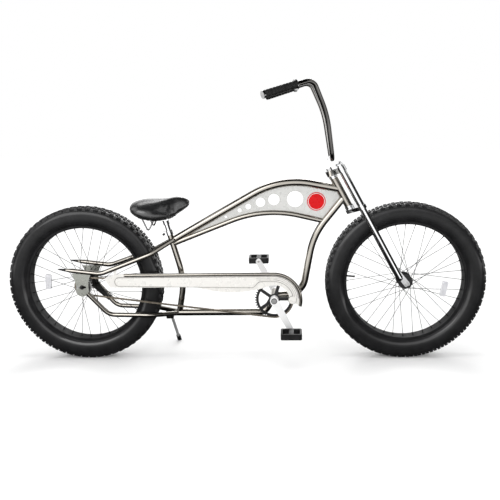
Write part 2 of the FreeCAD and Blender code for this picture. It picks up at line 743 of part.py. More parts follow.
def dropout_plate(side):
    """Plate with drawn-in sides and an axle slot that is open to the rear"""
    inner = REAR_HUB_SPACING / 2
    base = inner if side == LEFT else -inner - DROPOUT_THICKNESS

    def corner(forward, rise):
        return Vector(forward, base, AXLE_HEIGHT + rise)

    top_rear = corner(-DROPOUT_TOP_BACK, DROPOUT_TOP_RISE)
    top_front = corner(DROPOUT_TOP_FORWARD, DROPOUT_TOP_RISE)
    chin_rear = corner(-DROPOUT_WAIST, -DROPOUT_CHIN_DROP)
    chin_front = corner(DROPOUT_WAIST, -DROPOUT_CHIN_DROP)
    waist_rise = DROPOUT_TOP_RISE / 3
    edges = [
        Part.LineSegment(top_rear, top_front).toShape(),
        Part.Arc(top_front, corner(DROPOUT_WAIST, waist_rise), chin_front).toShape(),
        Part.Arc(chin_front, corner(0, -DROPOUT_BOTTOM_DROP), chin_rear).toShape(),
        Part.Arc(chin_rear, corner(-DROPOUT_WAIST, waist_rise), top_rear).toShape()]
    plate = Part.Face(Part.Wire(edges)).extrude(Y * DROPOUT_THICKNESS)
    half_slot = AXLE_RADIUS + SLOT_PLAY
    slot_end = Vector(AXLE_SLOT_FORWARD, base, AXLE_HEIGHT)
    slot = fuse([
        rod(slot_end, slot_end + Y * DROPOUT_THICKNESS, half_slot),
        box(Vector(-2 * DROPOUT_TOP_BACK, base, AXLE_HEIGHT - half_slot),
            Vector(AXLE_SLOT_FORWARD, base + DROPOUT_THICKNESS, AXLE_HEIGHT + half_slot))])
    return plate.cut(slot)


def rear_triangle(solids):
    """Stays with pointed rear fins, and the dropouts between them"""
    stays = []
    lower_stays = []
    plates = []
    for side in (LEFT, RIGHT):
        points, bends = seat_stay_line(side)
        tail = (points[-1] - points[-2]).normalize()
        points[-1] = points[-1] - tail * FIN_TAPER
        fin = Part.makeCone(STAY_RADIUS, FIN_POINT_RADIUS, FIN_TAPER, points[-1], tail)
        stay_solid = fuse([bent_tube(points, bends, STAY_RADIUS), fin])
        stay = fuse([bent_tube(points, bends, STAY_RADIUS, STAY_BORE), fin])
        stays.append(cut(stay, [solids["seat"], solids["top"]]))
        lower_points, lower_bends = chain_stay_line(side)
        lower_solid = bent_tube(lower_points, lower_bends, STAY_RADIUS)
        lower = bent_tube(lower_points, lower_bends, STAY_RADIUS, STAY_BORE)
        plate = cut(dropout_plate(side), [stay_solid])
        lower_stays.append(cut(lower, [solids["seat"], solids["bottom"], plate]))
        plates.append(plate)
        solids["seat_stay", side] = stay_solid
        solids["chain_stay", side] = lower_solid
    PARTS["seat_stays"] = Part.Compound(stays)
    PARTS["chain_stays"] = Part.Compound(lower_stays)
    PARTS["dropouts"] = Part.Compound(plates)


def seat_collar():
    """Split clamping collar round the top of the seat tube"""
    low = seat_point(SEAT_TUBE_TOP - COLLAR_HEIGHT)
    high = seat_point(SEAT_TUBE_TOP)
    rear = Y.cross(SEAT_UP).normalize() * -1
    ear_reach = COLLAR_RADIUS + COLLAR_EAR
    ears = Part.makeBox(ear_reach, 2 * COLLAR_EAR, COLLAR_HEIGHT, Vector(0, -COLLAR_EAR, 0))
    ears = stand(ears, low, rear, Y * -1)
    slit = Part.makeBox(2 * ear_reach, COLLAR_SLIT, COLLAR_HEIGHT, Vector(0, -COLLAR_SLIT / 2, 0))
    slit = stand(slit, low, rear, Y * -1)
    bore = rod(low - SEAT_UP, high + SEAT_UP, SEAT_TUBE_RADIUS)
    middle = (low + high) * 0.5 + rear * (COLLAR_RADIUS + COLLAR_EAR / 2)
    bolt_reach = Y * (COLLAR_EAR + CLEARANCE)
    bolt_hole = rod(middle - bolt_reach, middle + bolt_reach, COLLAR_BOLT_RADIUS)
    collar = fuse([rod(low, high, COLLAR_RADIUS), ears]).cut([bore, slit, bolt_hole])
    PARTS["seat_collar"] = collar
    head_reach = Y * (COLLAR_EAR + 2 * COLLAR_BOLT_RADIUS)
    shank = rod(middle - bolt_reach, middle + bolt_reach, COLLAR_BOLT_RADIUS)
    heads = [
        rod(middle + Y * COLLAR_EAR, middle + head_reach, 2 * COLLAR_BOLT_RADIUS),
        rod(middle - Y * COLLAR_EAR, middle - head_reach, 2 * COLLAR_BOLT_RADIUS)]
    return fuse([shank] + heads)


def bearing_cups():
    """Headset cups in the head tube and bearing cups in the bottom bracket shell"""
    cups = []
    for face, out in ((HEAD_LOW, STEER_UP * -1), (HEAD_HIGH, STEER_UP)):
        seat = steer_point(face, 0, 0)
        bore = HEADSET_CONE_RADIUS + RUN_FIT
        flange = rod(seat, seat + out * CUP_FLANGE, CUP_RADIUS, bore)
        sleeve = rod(seat, seat - out * CUP_SLEEVE, HEAD_TUBE_BORE, bore)
        cups.append(fuse([flange, sleeve]))
    for side in (LEFT, RIGHT):
        seat = BOTTOM_BRACKET + Y * (side * BOTTOM_BRACKET_WIDTH / 2)
        bore = SPINDLE_RADIUS + RUN_FIT
        flange = rod(seat, seat + Y * (side * BB_CUP_FLANGE), BOTTOM_BRACKET_RADIUS, bore)
        sleeve = rod(seat, seat - Y * (side * BB_CUP_DEPTH), BOTTOM_BRACKET_BORE, bore)
        cups.append(fuse([flange, sleeve]))
    PARTS["bearing_cups"] = Part.Compound(cups)


def steering_stem():
    """Steerer with the cones that run in the headset cups"""
    low = steer_point(LOWER_CROWN_HEIGHT, 0, 0)
    high = steer_point(UPPER_CROWN_TOP, 0, 0)
    PARTS["steerer_tube"] = rod(low, high, STEERER_RADIUS, STEERER_BORE)
    cones = []
    for seat, into in ((LOWER_CROWN_TOP, STEER_UP), (UPPER_CROWN_HEIGHT, STEER_UP * -1)):
        base = steer_point(seat, 0, 0)
        shoulder = base + into * RACE_HEIGHT
        tip = shoulder + into * (CLEARANCE + CUP_FLANGE)
        race = rod(base, shoulder, CUP_RADIUS, STEERER_RADIUS)
        cones.append(fuse([race, rod(shoulder, tip, HEADSET_CONE_RADIUS, STEERER_RADIUS)]))
    PARTS["headset_cones"] = Part.Compound(cones)


def crown_plate(height, thickness):
    outline = [
        (0, 0, CROWN_STEM_RADIUS),
        (LEG_OFFSET, -LEG_SPACING / 2, CROWN_LEG_RADIUS),
        (LEG_OFFSET, LEG_SPACING / 2, CROWN_LEG_RADIUS)]
    plate = stand(rounded_plate(outline, thickness), steer_point(height, 0, 0), STEER_FORWARD, Y)
    holes = [rod(steer_point(height, 0, 0), steer_point(height + thickness, 0, 0), STEERER_RADIUS)]
    for side in (LEFT, RIGHT):
        low = steer_point(height, side * LEG_SPACING / 2, LEG_OFFSET)
        holes.append(rod(low, low + STEER_UP * thickness, LEG_RADIUS))
    return plate.cut(holes)


def clamp_bolts():
    bolts = []
    for side in (LEFT, RIGHT):
        for end in (LEFT, RIGHT):
            spread = side * (BAR_CLAMP_WIDTH / 2 - CLAMP_BOLT_INSET)
            forward = BAR_CLAMP_FORWARD + end * CLAMP_BOLT_REACH
            low = steer_point(BAR_HEIGHT - CLAMP_BOLT_DEPTH, spread, forward)
            seat = steer_point(BAR_HEIGHT + CLAMP_LUG_HEIGHT, spread, forward)
            head = rod(seat, seat + STEER_UP * CLAMP_BOLT_HEAD, CLAMP_BOLT_HEAD)
            bolts.append(fuse([rod(low, seat, CLAMP_BOLT_RADIUS), head]))
    return bolts


def crowns_and_clamp(bar_solid):
    """Fork crowns, the handlebar clamp on the upper one, and the fasteners"""
    PARTS["lower_crown"] = crown_plate(LOWER_CROWN_HEIGHT, LOWER_CROWN_THICKNESS)
    bolts = clamp_bolts()
    half_width = BAR_CLAMP_WIDTH / 2
    reach = BAR_CLAMP_RADIUS
    post_height = BAR_CLAMP_HEIGHT - CLAMP_SPLIT / 2
    post = box(Vector(-reach, -half_width, 0), Vector(reach, half_width, post_height))
    post = stand(post, steer_point(UPPER_CROWN_TOP, 0, BAR_CLAMP_FORWARD), STEER_FORWARD, Y)
    crown = fuse([crown_plate(UPPER_CROWN_HEIGHT, UPPER_CROWN_THICKNESS), post])
    PARTS["upper_crown"] = cut(crown, [bar_solid] + bolts)
    bar_middle = steer_point(BAR_HEIGHT, 0, BAR_CLAMP_FORWARD)
    barrel = rod(bar_middle - Y * half_width, bar_middle + Y * half_width, BAR_BARREL_RADIUS)
    lugs = box(Vector(-reach, -half_width, 0), Vector(reach, half_width, CLAMP_LUG_HEIGHT))
    lugs = stand(lugs, bar_middle, STEER_FORWARD, Y)
    below = box(Vector(-reach, -half_width, -reach), Vector(reach, half_width, CLAMP_SPLIT / 2))
    below = stand(below, bar_middle, STEER_FORWARD, Y)
    PARTS["handlebar_clamp_cap"] = cut(fuse([barrel, lugs]), [below, bar_solid] + bolts)
    top_nut = hexagon(steer_point(UPPER_CROWN_TOP, 0, 0), STEER_UP, TOP_NUT_FLATS, TOP_NUT_HEIGHT)
    nuts = axle_nuts(FRONT_AXLE, FRONT_HUB_SPACING / 2 + TIP_THICKNESS)
    PARTS["steering_fasteners"] = Part.Compound(bolts + [top_nut] + nuts)


def axle_nuts(axle, seat):
    """Washer and nut on each end of an axle, seated at a distance from the middle plane"""
    pieces = []
    for side in (LEFT, RIGHT):
        washer = axle + Y * (side * seat)
        nut = washer + Y * (side * WASHER_THICKNESS)
        pieces.append(rod(washer, nut, WASHER_RADIUS, AXLE_RADIUS))
        end = nut + Y * (side * NUT_HEIGHT)
        pieces.append(hexagon(nut, Y * side, NUT_FLATS, NUT_HEIGHT).cut(rod(nut, end, AXLE_RADIUS)))
    return pieces


def fork_legs():
    """Legs with thicker sleeves between the crowns and flat slotted tips"""
    legs = []
    for side in (LEFT, RIGHT):
        spread = side * LEG_SPACING / 2

        def level(height):
            return steer_point(height, spread, LEG_OFFSET)

        cap_top = UPPER_CROWN_TOP + LEG_CAP_HEIGHT
        tip_outer = side * FRONT_HUB_SPACING / 2
        if side == LEFT:
            tip_outer += TIP_THICKNESS
        tip_origin = STEER_ROOT + Y * tip_outer
        tip = rounded_plate(
            [(FORK_RAKE, 0, TIP_RADIUS), (LEG_OFFSET, TIP_LENGTH, LEG_BORE)], TIP_THICKNESS)
        half_slot = AXLE_RADIUS + SLOT_PLAY
        slot = fuse([
            Part.makeCylinder(half_slot, TIP_THICKNESS, Vector(FORK_RAKE, 0, 0)),
            box(Vector(FORK_RAKE - half_slot, -2 * TIP_RADIUS, 0),
                Vector(FORK_RAKE + half_slot, 0, TIP_THICKNESS))])
        tip = stand(tip.cut(slot), tip_origin, STEER_FORWARD, STEER_UP)
        foot = Part.makeSphere(LEG_RADIUS, level(LEG_FOOT))
        leg = fuse([
            rod(level(LEG_FOOT), level(UPPER_CROWN_TOP), LEG_RADIUS),
            rod(level(LOWER_CROWN_TOP), level(UPPER_CROWN_HEIGHT), LEG_SLEEVE_RADIUS),
            rod(level(UPPER_CROWN_TOP), level(cap_top), LEG_SLEEVE_RADIUS),
            foot])
        bore = rod(level(LEG_FOOT), level(UPPER_CROWN_TOP), LEG_BORE)
        legs.append(fuse([leg.cut(bore), tip]))
    PARTS["fork_legs"] = Part.Compound(legs)


def bar_line():
    middle = steer_point(BAR_HEIGHT, 0, BAR_CLAMP_FORWARD)
    right = [
        middle + Vector(-BAR_END_BACK, -BAR_END_SPREAD, BAR_END_RISE),
        middle + Vector(-BAR_TOP_BACK, -BAR_TOP_SPREAD, BAR_TOP_RISE),
        middle + Vector(-BAR_RISER_BACK, -BAR_RISER_SPREAD, BAR_RISER_RISE),
        middle + Vector(0, -BAR_FOOT_SPREAD, 0)]
    left = [Vector(point.x, -point.y, point.z) for point in reversed(right)]
    bends = [BAR_TOP_BEND, BAR_RISER_BEND, BAR_FOOT_BEND]
    return right + left, bends + bends[::-1]


def grip_sleeve():
    """Ribbed sleeve drawn upward from its open front end"""
    rib = GRIP_LENGTH / (2 * GRIP_RIB_COUNT + 1)
    outline = [(BAR_RADIUS, 0), (GRIP_RADIUS, 0)]
    for index in range(GRIP_RIB_COUNT):
        start = rib * (2 * index + 1)
        outline += [
            (GRIP_RADIUS, start), (GRIP_RADIUS - GRIP_GROOVE, start),
            (GRIP_RADIUS - GRIP_GROOVE, start + rib), (GRIP_RADIUS, start + rib)]
    outline += [(GRIP_RADIUS, GRIP_LENGTH), (BAR_RADIUS, GRIP_LENGTH)]
    corners = [Vector(radius, 0, height) for radius, height in outline]
    return Part.Face(Part.makePolygon(corners + corners[:1])).revolve(Vector(), Z, FULL_TURN)


def handlebar():
    """Tall swept bar with grips, bright collars and end caps"""
    points, bends = bar_line()
    PARTS["handlebar"] = bent_tube(points, bends, BAR_RADIUS, BAR_BORE)
    trim = []
    for name, end, corner in (("right_grip", points[0], points[1]), ("left_grip", points[-1], points[-2])):
        back = (end - corner).normalize()
        start = end - back * GRIP_LENGTH
        sleeve = grip_sleeve()
        sleeve.Placement = FreeCAD.Placement(start, FreeCAD.Rotation(Z, back))
        PARTS[name] = sleeve
        trim.append(rod(start - back * GRIP_FLANGE_WIDTH, start, GRIP_FLANGE_RADIUS, BAR_RADIUS))
        trim.append(rod(end, end + back * GRIP_CAP_LENGTH, GRIP_RADIUS))
    PARTS["grip_trim"] = Part.Compound(trim)
    return bent_tube(points, bends, BAR_RADIUS)


def axle_and_cones(axle, seat, cones):
    """Axle with stepped cones given as (from, to, radius) along it"""
    half = Y * (seat + WASHER_THICKNESS + NUT_HEIGHT + AXLE_STICK_OUT)
    pieces = [rod(axle - half, axle + half, AXLE_RADIUS)]
    for steps in cones:
        rings = []
        for start, end, radius in steps:
            rings.append(rod(axle + Y * start, axle + Y * end, radius, AXLE_RADIUS))
        pieces.append(fuse(rings))
    return Part.Compound(pieces)


def axles():
    front_half = FRONT_HUB_SPACING / 2
    hub_end = front_half - HUB_END_GAP
    cones = []
    for side in (LEFT, RIGHT):
        cones.append([
            (side * (hub_end - CONE_LENGTH), side * hub_end, FRONT_CONE_RADIUS),
            (side * hub_end, side * front_half, SPACER_RADIUS)])
    PARTS["front_axle"] = axle_and_cones(FRONT_AXLE, front_half + TIP_THICKNESS, cones)
    rear_half = REAR_HUB_SPACING / 2
    driver_outer = CHAIN_LINE + DRIVER_WIDTH / 2
    left_cone = [
        (REAR_HUB_END - CONE_LENGTH, REAR_HUB_END, REAR_CONE_RADIUS),
        (REAR_HUB_END, rear_half, SPACER_RADIUS)]
    right_cone = [
        (-REAR_HUB_END + CONE_LENGTH, -REAR_HUB_END, REAR_CONE_RADIUS),
        (-REAR_HUB_END, -driver_outer, DRIVER_BEARING_RADIUS),
        (-driver_outer, -rear_half, SPACER_RADIUS)]
    PARTS["rear_axle"] = axle_and_cones(REAR_AXLE, rear_half + DROPOUT_THICKNESS, [left_cone, right_cone])


def wheel_tyre(axle):
    """Fat casing with flat-topped crown knobs and lower shoulder knobs between them"""
    crown = CROWN_WIDTH / 2
    shoulder = SHOULDER_WIDTH / 2
    tread = TYRE_RADIUS - TREAD_DEPTH
    bead = RIM_WIDTH / 2 - RIM_WALL - CLEARANCE
    bead_low = RIM_RADIUS + RIM_WALL + CLEARANCE
    bead_high = RIM_RADIUS + RIM_FLANGE
    half = TYRE_WIDTH / 2
    belly = (bead_high + tread) / 2

    def half_section(inset):
        low = Vector(0, bead - inset, bead_low)
        neck = Vector(0, bead - inset, bead_high + inset / 2)
        flank = Vector(0, half - inset, belly)
        edge = Vector(0, shoulder - inset, tread - SHOULDER_DROP - inset / 2)
        top = Vector(0, crown - inset, tread - inset)
        lower_swell = (neck + flank) * 0.5 + Vector(0, inset / 4 + CASING_SWELL, -CASING_SWELL)
        upper_swell = (flank + edge) * 0.5 + Vector(0, CASING_SWELL / 2, CASING_SWELL / 4)
        return [
            Part.LineSegment(low, neck).toShape(),
            Part.Arc(neck, lower_swell, flank).toShape(),
            Part.Arc(flank, upper_swell, edge).toShape(),
            Part.LineSegment(edge, top).toShape()], low, top

    edges = []
    lows = []
    for inset in (0.0, TYRE_WALL):
        side_edges, low, top = half_section(inset)
        mirrored = [edge.mirror(Vector(), Y) for edge in side_edges]
        edges += side_edges + mirrored
        edges.append(Part.LineSegment(top, Vector(0, -top.y, top.z)).toShape())
        lows.append(low)
    for side in (LEFT, RIGHT):
        outer, inner = [Vector(0, side * low.y, low.z) for low in lows]
        edges.append(Part.LineSegment(outer, inner).toShape())
    section = Part.Face(Part.Wire(Part.__sortEdges__(edges)))
    casing = section.revolve(Vector(), Y, FULL_TURN)
    knobs = []
    root = TREAD_DEPTH + TYRE_WALL / 2
    for index in range(KNOB_COUNT):
        turn = index * FULL_TURN / KNOB_COUNT
        for side in (LEFT, RIGHT):
            ends = sorted((side * KNOB_GROOVE / 2, side * crown))
            block = box(Vector(-KNOB_LENGTH / 2, ends[0], TYRE_RADIUS - root),
                        Vector(KNOB_LENGTH / 2, ends[1], TYRE_RADIUS))
            block.rotate(Vector(), Y, turn)
            knobs.append(block)
            ends = sorted((side * (crown + KNOB_GROOVE / 2), side * shoulder))
            top = TYRE_RADIUS - SHOULDER_DROP / 2
            block = box(Vector(-KNOB_LENGTH / 2, ends[0], top - SHOULDER_DROP - root),
                        Vector(KNOB_LENGTH / 2, ends[1], top))
            block.rotate(Vector(), Y, turn + FULL_TURN / KNOB_COUNT / 2)
            knobs.append(block)
    tyre = casing.fuse(knobs)
    tyre.translate(axle)
    return max(tyre.Solids, key=lambda solid: solid.Volume)


def wheel_rim(axle, valve_angle):
    """Wide shallow rim with upright flanges and a valve hole"""
    half = RIM_WIDTH / 2
    floor = RIM_RADIUS + RIM_WALL
    lip = RIM_RADIUS + RIM_FLANGE
    rim = turned([
        (-half, RIM_RADIUS + RIM_WALL), (-half + RIM_WALL, RIM_RADIUS), (half - RIM_WALL, RIM_RADIUS),
        (half, RIM_RADIUS + RIM_WALL), (half, lip), (half - RIM_WALL, lip), (half - RIM_WALL, floor),
        (-half + RIM_WALL, floor), (-half + RIM_WALL, lip), (-half, lip)], axle)
    hole_start = polar(axle, RIM_RADIUS - RIM_WALL, valve_angle)
    return rim.cut(rod(hole_start, polar(axle, lip, valve_angle), VALVE_RADIUS + SLOT_PLAY))


def inner_tube(axle, valve_angle):
    """Air tube inside the tyre, with its valve stem through the rim"""
    bead_high = RIM_RADIUS + RIM_FLANGE
    ring = (bead_high + TYRE_RADIUS - TREAD_DEPTH) / 2 - TUBE_DROP
    outer = Part.makeTorus(ring, TUBE_SECTION, axle, Y)
    inner = Part.makeTorus(ring, TUBE_SECTION - TUBE_WALL, axle, Y)
    foot = polar(axle, RIM_RADIUS - VALVE_LENGTH, valve_angle)
    root = polar(axle, ring - TUBE_SECTION + 2 * TUBE_WALL, valve_angle)
    stem = rod(foot, root, VALVE_RADIUS)
    bore = rod(foot, root, VALVE_BORE)
    return outer.fuse(stem).cut([inner, bore])


def wheel_spokes(axle, flange_spacing):
    """Crossed spokes, alternately leading and trailing, from both hub flanges"""
    spokes = []
    hub_radius = HUB_FLANGE_RADIUS + CLEARANCE
    rim_radius = RIM_RADIUS - CLEARANCE
    per_flange = SPOKE_COUNT // 2
    for side in (LEFT, RIGHT):
        for index in range(per_flange):
            lead = 1 if index % 2 == 0 else -1
            hub_angle = index * FULL_TURN / per_flange
            if side == RIGHT:
                hub_angle += FULL_TURN / SPOKE_COUNT
            rim_angle = hub_angle + lead * SPOKE_CROSS_ANGLE
            hub_side = side * (flange_spacing / 2) + lead * SPOKE_STAGGER
            rim_side = side * SPOKE_RIM_OFFSET + lead * SPOKE_STAGGER / 2
            start = polar(axle, hub_radius, hub_angle, hub_side)
            end = polar(axle, rim_radius, rim_angle, rim_side)
            spokes.append(rod(start, end, SPOKE_RADIUS))
    return Part.Compound(spokes)


def hub_shell(axle, half_length, flange_spacing, bore):
    """Hub barrel with two spoke flanges, bored for its bearing cones"""
    flange = flange_spacing / 2
    inner = flange - HUB_FLANGE_THICKNESS / 2
    outer = flange + HUB_FLANGE_THICKNESS / 2
    wall = bore + HUB_WALL
    half = [
        (inner, wall), (inner, HUB_FLANGE_RADIUS), (outer, HUB_FLANGE_RADIUS), (outer, wall),
        (half_length, wall)]
    mirrored = [(-side, radius) for side, radius in reversed(half)]
    return turned(mirrored + half + [(half_length, bore), (-half_length, bore)], axle)


def wheel_reflector(axle, angle, spokes):
    """Reflector block clipped onto the spokes of the right-hand flange"""
    half_height = REFLECTOR_HEIGHT / 2
    half_length = REFLECTOR_LENGTH / 2
    back = REFLECTOR_THICKNESS - REFLECTOR_FACE
    block = box(Vector(REFLECTOR_ORBIT - half_height, -REFLECTOR_FACE, -half_length),
                Vector(REFLECTOR_ORBIT + half_height, back, half_length))
    block = block.makeFillet(REFLECTOR_CORNER, edges_along(block, Y))
    block.rotate(Vector(), Y, -angle)
    block.translate(axle)
    return cut(block, spokes.Solids)


def wheels():
    settings = (
        ("front", FRONT_AXLE, FRONT_VALVE_ANGLE, FRONT_FLANGE_SPACING, FRONT_REFLECTOR_ANGLE),
        ("rear", REAR_AXLE, REAR_VALVE_ANGLE, REAR_FLANGE_SPACING, REAR_REFLECTOR_ANGLE))
    tyre = wheel_tyre(Vector())
    for end, axle, valve_angle, flange_spacing, reflector_angle in settings:
        copy = tyre.copy()
        copy.translate(axle)
        PARTS[end + "_tyre"] = copy
        PARTS[end + "_inner_tube"] = inner_tube(axle, valve_angle)
        PARTS[end + "_rim"] = wheel_rim(axle, valve_angle)
        spokes = wheel_spokes(axle, flange_spacing)
        PARTS[end + "_spokes"] = spokes
        PARTS[end + "_reflector"] = wheel_reflector(axle, reflector_angle, spokes)
    front_bore = FRONT_CONE_RADIUS + RUN_FIT
    rear_bore = REAR_CONE_RADIUS + RUN_FIT
    front_end = FRONT_HUB_SPACING / 2 - HUB_END_GAP
    PARTS["front_hub"] = hub_shell(FRONT_AXLE, front_end, FRONT_FLANGE_SPACING, front_bore)
    PARTS["rear_hub"] = hub_shell(REAR_AXLE, REAR_HUB_END, REAR_FLANGE_SPACING, rear_bore)


def toothed_plate(centre, teeth, joint_angle, side):
    """Sprocket plate whose tooth gaps seat the chain rollers"""
    pitch_radius = CHAIN_PITCH / (2 * math.sin(math.pi / teeth))
    seat = CHAIN_ROLLER_RADIUS + TOOTH_PLAY
    step = FULL_TURN / teeth
    corners = []
    for index in range(teeth):
        turn = math.radians(joint_angle + index * step)
        radial = Vector(math.cos(turn), 0, math.sin(turn))
        tangent = Vector(-math.sin(turn), 0, math.cos(turn))
        gap = []
        for depth_angle in TOOTH_SEAT_ANGLES:
            lean = math.radians(depth_angle)
            gap.append((pitch_radius - seat * math.cos(lean), seat * math.sin(lean)))
        for depth, spread in reversed(gap):
            corners.append(radial * depth - tangent * spread)
        for depth, spread in gap:
            corners.append(radial * depth + tangent * spread)
        ahead = turn + math.radians(step / 2)
        tip = Vector(math.cos(ahead), 0, math.sin(ahead)) * (pitch_radius + TOOTH_HEIGHT)
        along = Vector(-math.sin(ahead), 0, math.cos(ahead)) * (TOOTH_TIP_WIDTH / 2)
        corners += [tip - along, tip + along]
    plate = Part.Face(Part.makePolygon(corners + corners[:1])).extrude(Y * TOOTH_THICKNESS)
    plate.translate(centre + Y * (side - TOOTH_THICKNESS / 2))
    return plate


def link_plate(start, end, near, far):
    """Flat chain plate over two joints, spanning from near to far across the chain"""
    run = (end - start).normalize()
    rise = Vector(-run.z, 0, run.x) * (CHAIN_PLATE_HEIGHT / 2)
    reach = run * (CHAIN_PLATE_HEIGHT / 2)
    corners = [start - reach - rise, end + reach - rise, end + reach + rise, start - reach + rise]
    corners = [Vector(point.x, near, point.z) for point in corners]
    return Part.Face(Part.makePolygon(corners + corners[:1])).extrude(Y * (far - near))


def chain_loop(joints):
    """Roller chain: rollers between inner plates, then outer plates, link after link"""
    pieces = []
    inner = CHAIN_INNER_WIDTH / 2
    outer = inner + CHAIN_PLATE + CHAIN_PLATE_PLAY
    for index, joint in enumerate(joints):
        after = joints[(index + 1) % len(joints)]
        near = inner if index % 2 == 0 else outer
        for side in (LEFT, RIGHT):
            faces = sorted((side * near - CHAIN_LINE, side * (near + CHAIN_PLATE) - CHAIN_LINE))
            pieces.append(link_plate(joint, after, *faces))
        roller = hexagon(
            joint + Y * (-CHAIN_LINE - inner + CHAIN_PLATE_PLAY), Y,
            CHAIN_ROLLER_RADIUS * math.sqrt(3), CHAIN_INNER_WIDTH - 2 * CHAIN_PLATE_PLAY)
        pieces.append(roller)
    return Part.Compound(pieces)


def angle_of(point, centre):
    return math.degrees(math.atan2(point.z - centre.z, point.x - centre.x))


def transmission():
    """Chain with the two toothed wheels that it runs on"""
    joints = chain_joints()
    first_ring = next(point for point, on_ring, on_sprocket in joints if on_ring)
    first_sprocket = next(point for point, on_ring, on_sprocket in joints if on_sprocket)
    PARTS["chain"] = chain_loop([point for point, on_ring, on_sprocket in joints])

    ring_phase = angle_of(first_ring, BOTTOM_BRACKET)
    ring_plate = toothed_plate(BOTTOM_BRACKET, CHAINRING_TEETH, ring_phase, -CHAIN_LINE)
    pitch_radius = CHAIN_PITCH / (2 * math.sin(math.pi / CHAINRING_TEETH))
    window_outer = pitch_radius - CHAINRING_RIM
    low = Y * (-CHAIN_LINE - TOOTH_THICKNESS)
    high = Y * (-CHAIN_LINE + TOOTH_THICKNESS)
    windows = rod(BOTTOM_BRACKET + low, BOTTOM_BRACKET + high, window_outer, SPIDER_RADIUS)
    arms = []
    for index in range(CHAINRING_ARMS):
        half_arm = CHAINRING_ARM_WIDTH / 2
        arm = box(Vector(0, low.y, -half_arm), Vector(pitch_radius, high.y, half_arm))
        arm.rotate(Vector(), Y, index * FULL_TURN / CHAINRING_ARMS)
        arm.translate(BOTTOM_BRACKET)
        arms.append(arm)
    boss = rod(BOTTOM_BRACKET + low * 2, BOTTOM_BRACKET, CRANK_BOSS_RADIUS)
    PARTS["chainring"] = ring_plate.cut(windows.cut(arms)).cut(boss)

    cog = toothed_plate(REAR_AXLE, SPROCKET_TEETH, angle_of(first_sprocket, REAR_AXLE), -CHAIN_LINE)
    half_driver = DRIVER_WIDTH / 2 - CLEARANCE
    near = REAR_AXLE - Y * (CHAIN_LINE - half_driver)
    far = REAR_AXLE - Y * (CHAIN_LINE + half_driver)
    body = fuse([cog, rod(near, far, DRIVER_BODY_RADIUS)])
    PARTS["rear_sprocket"] = body.cut(rod(near, far, DRIVER_BEARING_RADIUS + RUN_FIT))


def pedal_body(centre, side):
    """Platform pedal with two open windows beside its barrel"""
    half_length = PEDAL_LENGTH / 2
    half_height = PEDAL_HEIGHT / 2
    low, high = sorted((side * PEDAL_INNER_FACE, side * (PEDAL_INNER_FACE + PEDAL_WIDTH)))
    block = box(Vector(-half_length, low, -half_height), Vector(half_length, high, half_height))
    block = block.makeFillet(PEDAL_CORNER, edges_along(block, Z))
    windows = []
    for end in (-1, 1):
        ends = sorted((end * PEDAL_BARREL_RADIUS, end * (half_length - PEDAL_RAIL)))
        windows.append(box(Vector(ends[0], low + PEDAL_RAIL, -PEDAL_HEIGHT),
                           Vector(ends[1], high - PEDAL_RAIL, PEDAL_HEIGHT)))
    bore_end = side * (PEDAL_INNER_FACE + PEDAL_WIDTH - PEDAL_RAIL)
    bore = rod(Y * (side * PEDAL_INNER_FACE), Y * bore_end, PEDAL_SPINDLE_RADIUS + RUN_FIT)
    body = block.cut(windows + [bore])
    body.translate(Vector(centre.x, 0, centre.z))
    return body


def cranks():
    """Square-shouldered cranks on their spindle, with the pedals on theirs"""
    outer_face = CRANK_INNER_FACE + CRANK_THICKNESS
    boss_end = BOTTOM_BRACKET_WIDTH / 2 + BB_CUP_FLANGE + HUB_END_GAP
    spindle_half = boss_end - CLEARANCE
    spindle = fuse([
        rod(BOTTOM_BRACKET - Y * spindle_half, BOTTOM_BRACKET + Y * spindle_half, SPINDLE_RADIUS),
        rod(BOTTOM_BRACKET - Y * outer_face, BOTTOM_BRACKET + Y * outer_face, SPINDLE_END_RADIUS)])
    spindle_group = [spindle]
    pins = []
    for name, side, angle in (("right", RIGHT, CRANK_ANGLE), ("left", LEFT, CRANK_ANGLE + FULL_TURN / 2)):
        eye = polar(Vector(), CRANK_LENGTH, angle)
        arm = rounded_plate([(0, 0, CRANK_BOSS_RADIUS), (eye.x, eye.z, CRANK_EYE_RADIUS)], CRANK_THICKNESS)
        plate_start = outer_face if side == LEFT else -CRANK_INNER_FACE
        arm = stand(arm, BOTTOM_BRACKET + Y * plate_start, X, Z)
        outer_end = BOTTOM_BRACKET + Y * (side * outer_face)
        boss = rod(BOTTOM_BRACKET + Y * (side * boss_end), outer_end, CRANK_BOSS_RADIUS)
        pin_start = BOTTOM_BRACKET + eye + Y * (side * CRANK_INNER_FACE)
        pin_end = BOTTOM_BRACKET + eye + Y * (side * (PEDAL_INNER_FACE + PEDAL_WIDTH - 2 * PEDAL_RAIL))
        pin = rod(pin_start, pin_end, PEDAL_SPINDLE_RADIUS)
        pins.append(pin)
        PARTS[name + "_crank"] = fuse([arm, boss]).cut([spindle, pin])
        spindle_group.append(rod(outer_end, outer_end + Y * (side * CRANK_BOLT_HEIGHT), CRANK_BOLT_RADIUS))
        PARTS[name + "_pedal"] = pedal_body(BOTTOM_BRACKET + eye, side)
    PARTS["crank_spindle"] = Part.Compound(spindle_group)
    PARTS["pedal_spindles"] = Part.Compound(pins)


def s_curve(start, end):
    """Two equal arcs that leave the start and reach the end along X"""
    run = (end.x - start.x) / 2
    rise = (end.z - start.z) / 2
    radius = (run ** 2 + rise ** 2) / (2 * rise)
    lean = math.atan2(rise, run)
    step = Vector(radius * math.sin(lean), 0, radius * (1 - math.cos(lean)))
    middle = (start + end) * 0.5
    return [Part.Arc(start, start + step, middle).toShape(), Part.Arc(middle, end - step, end).toShape()]


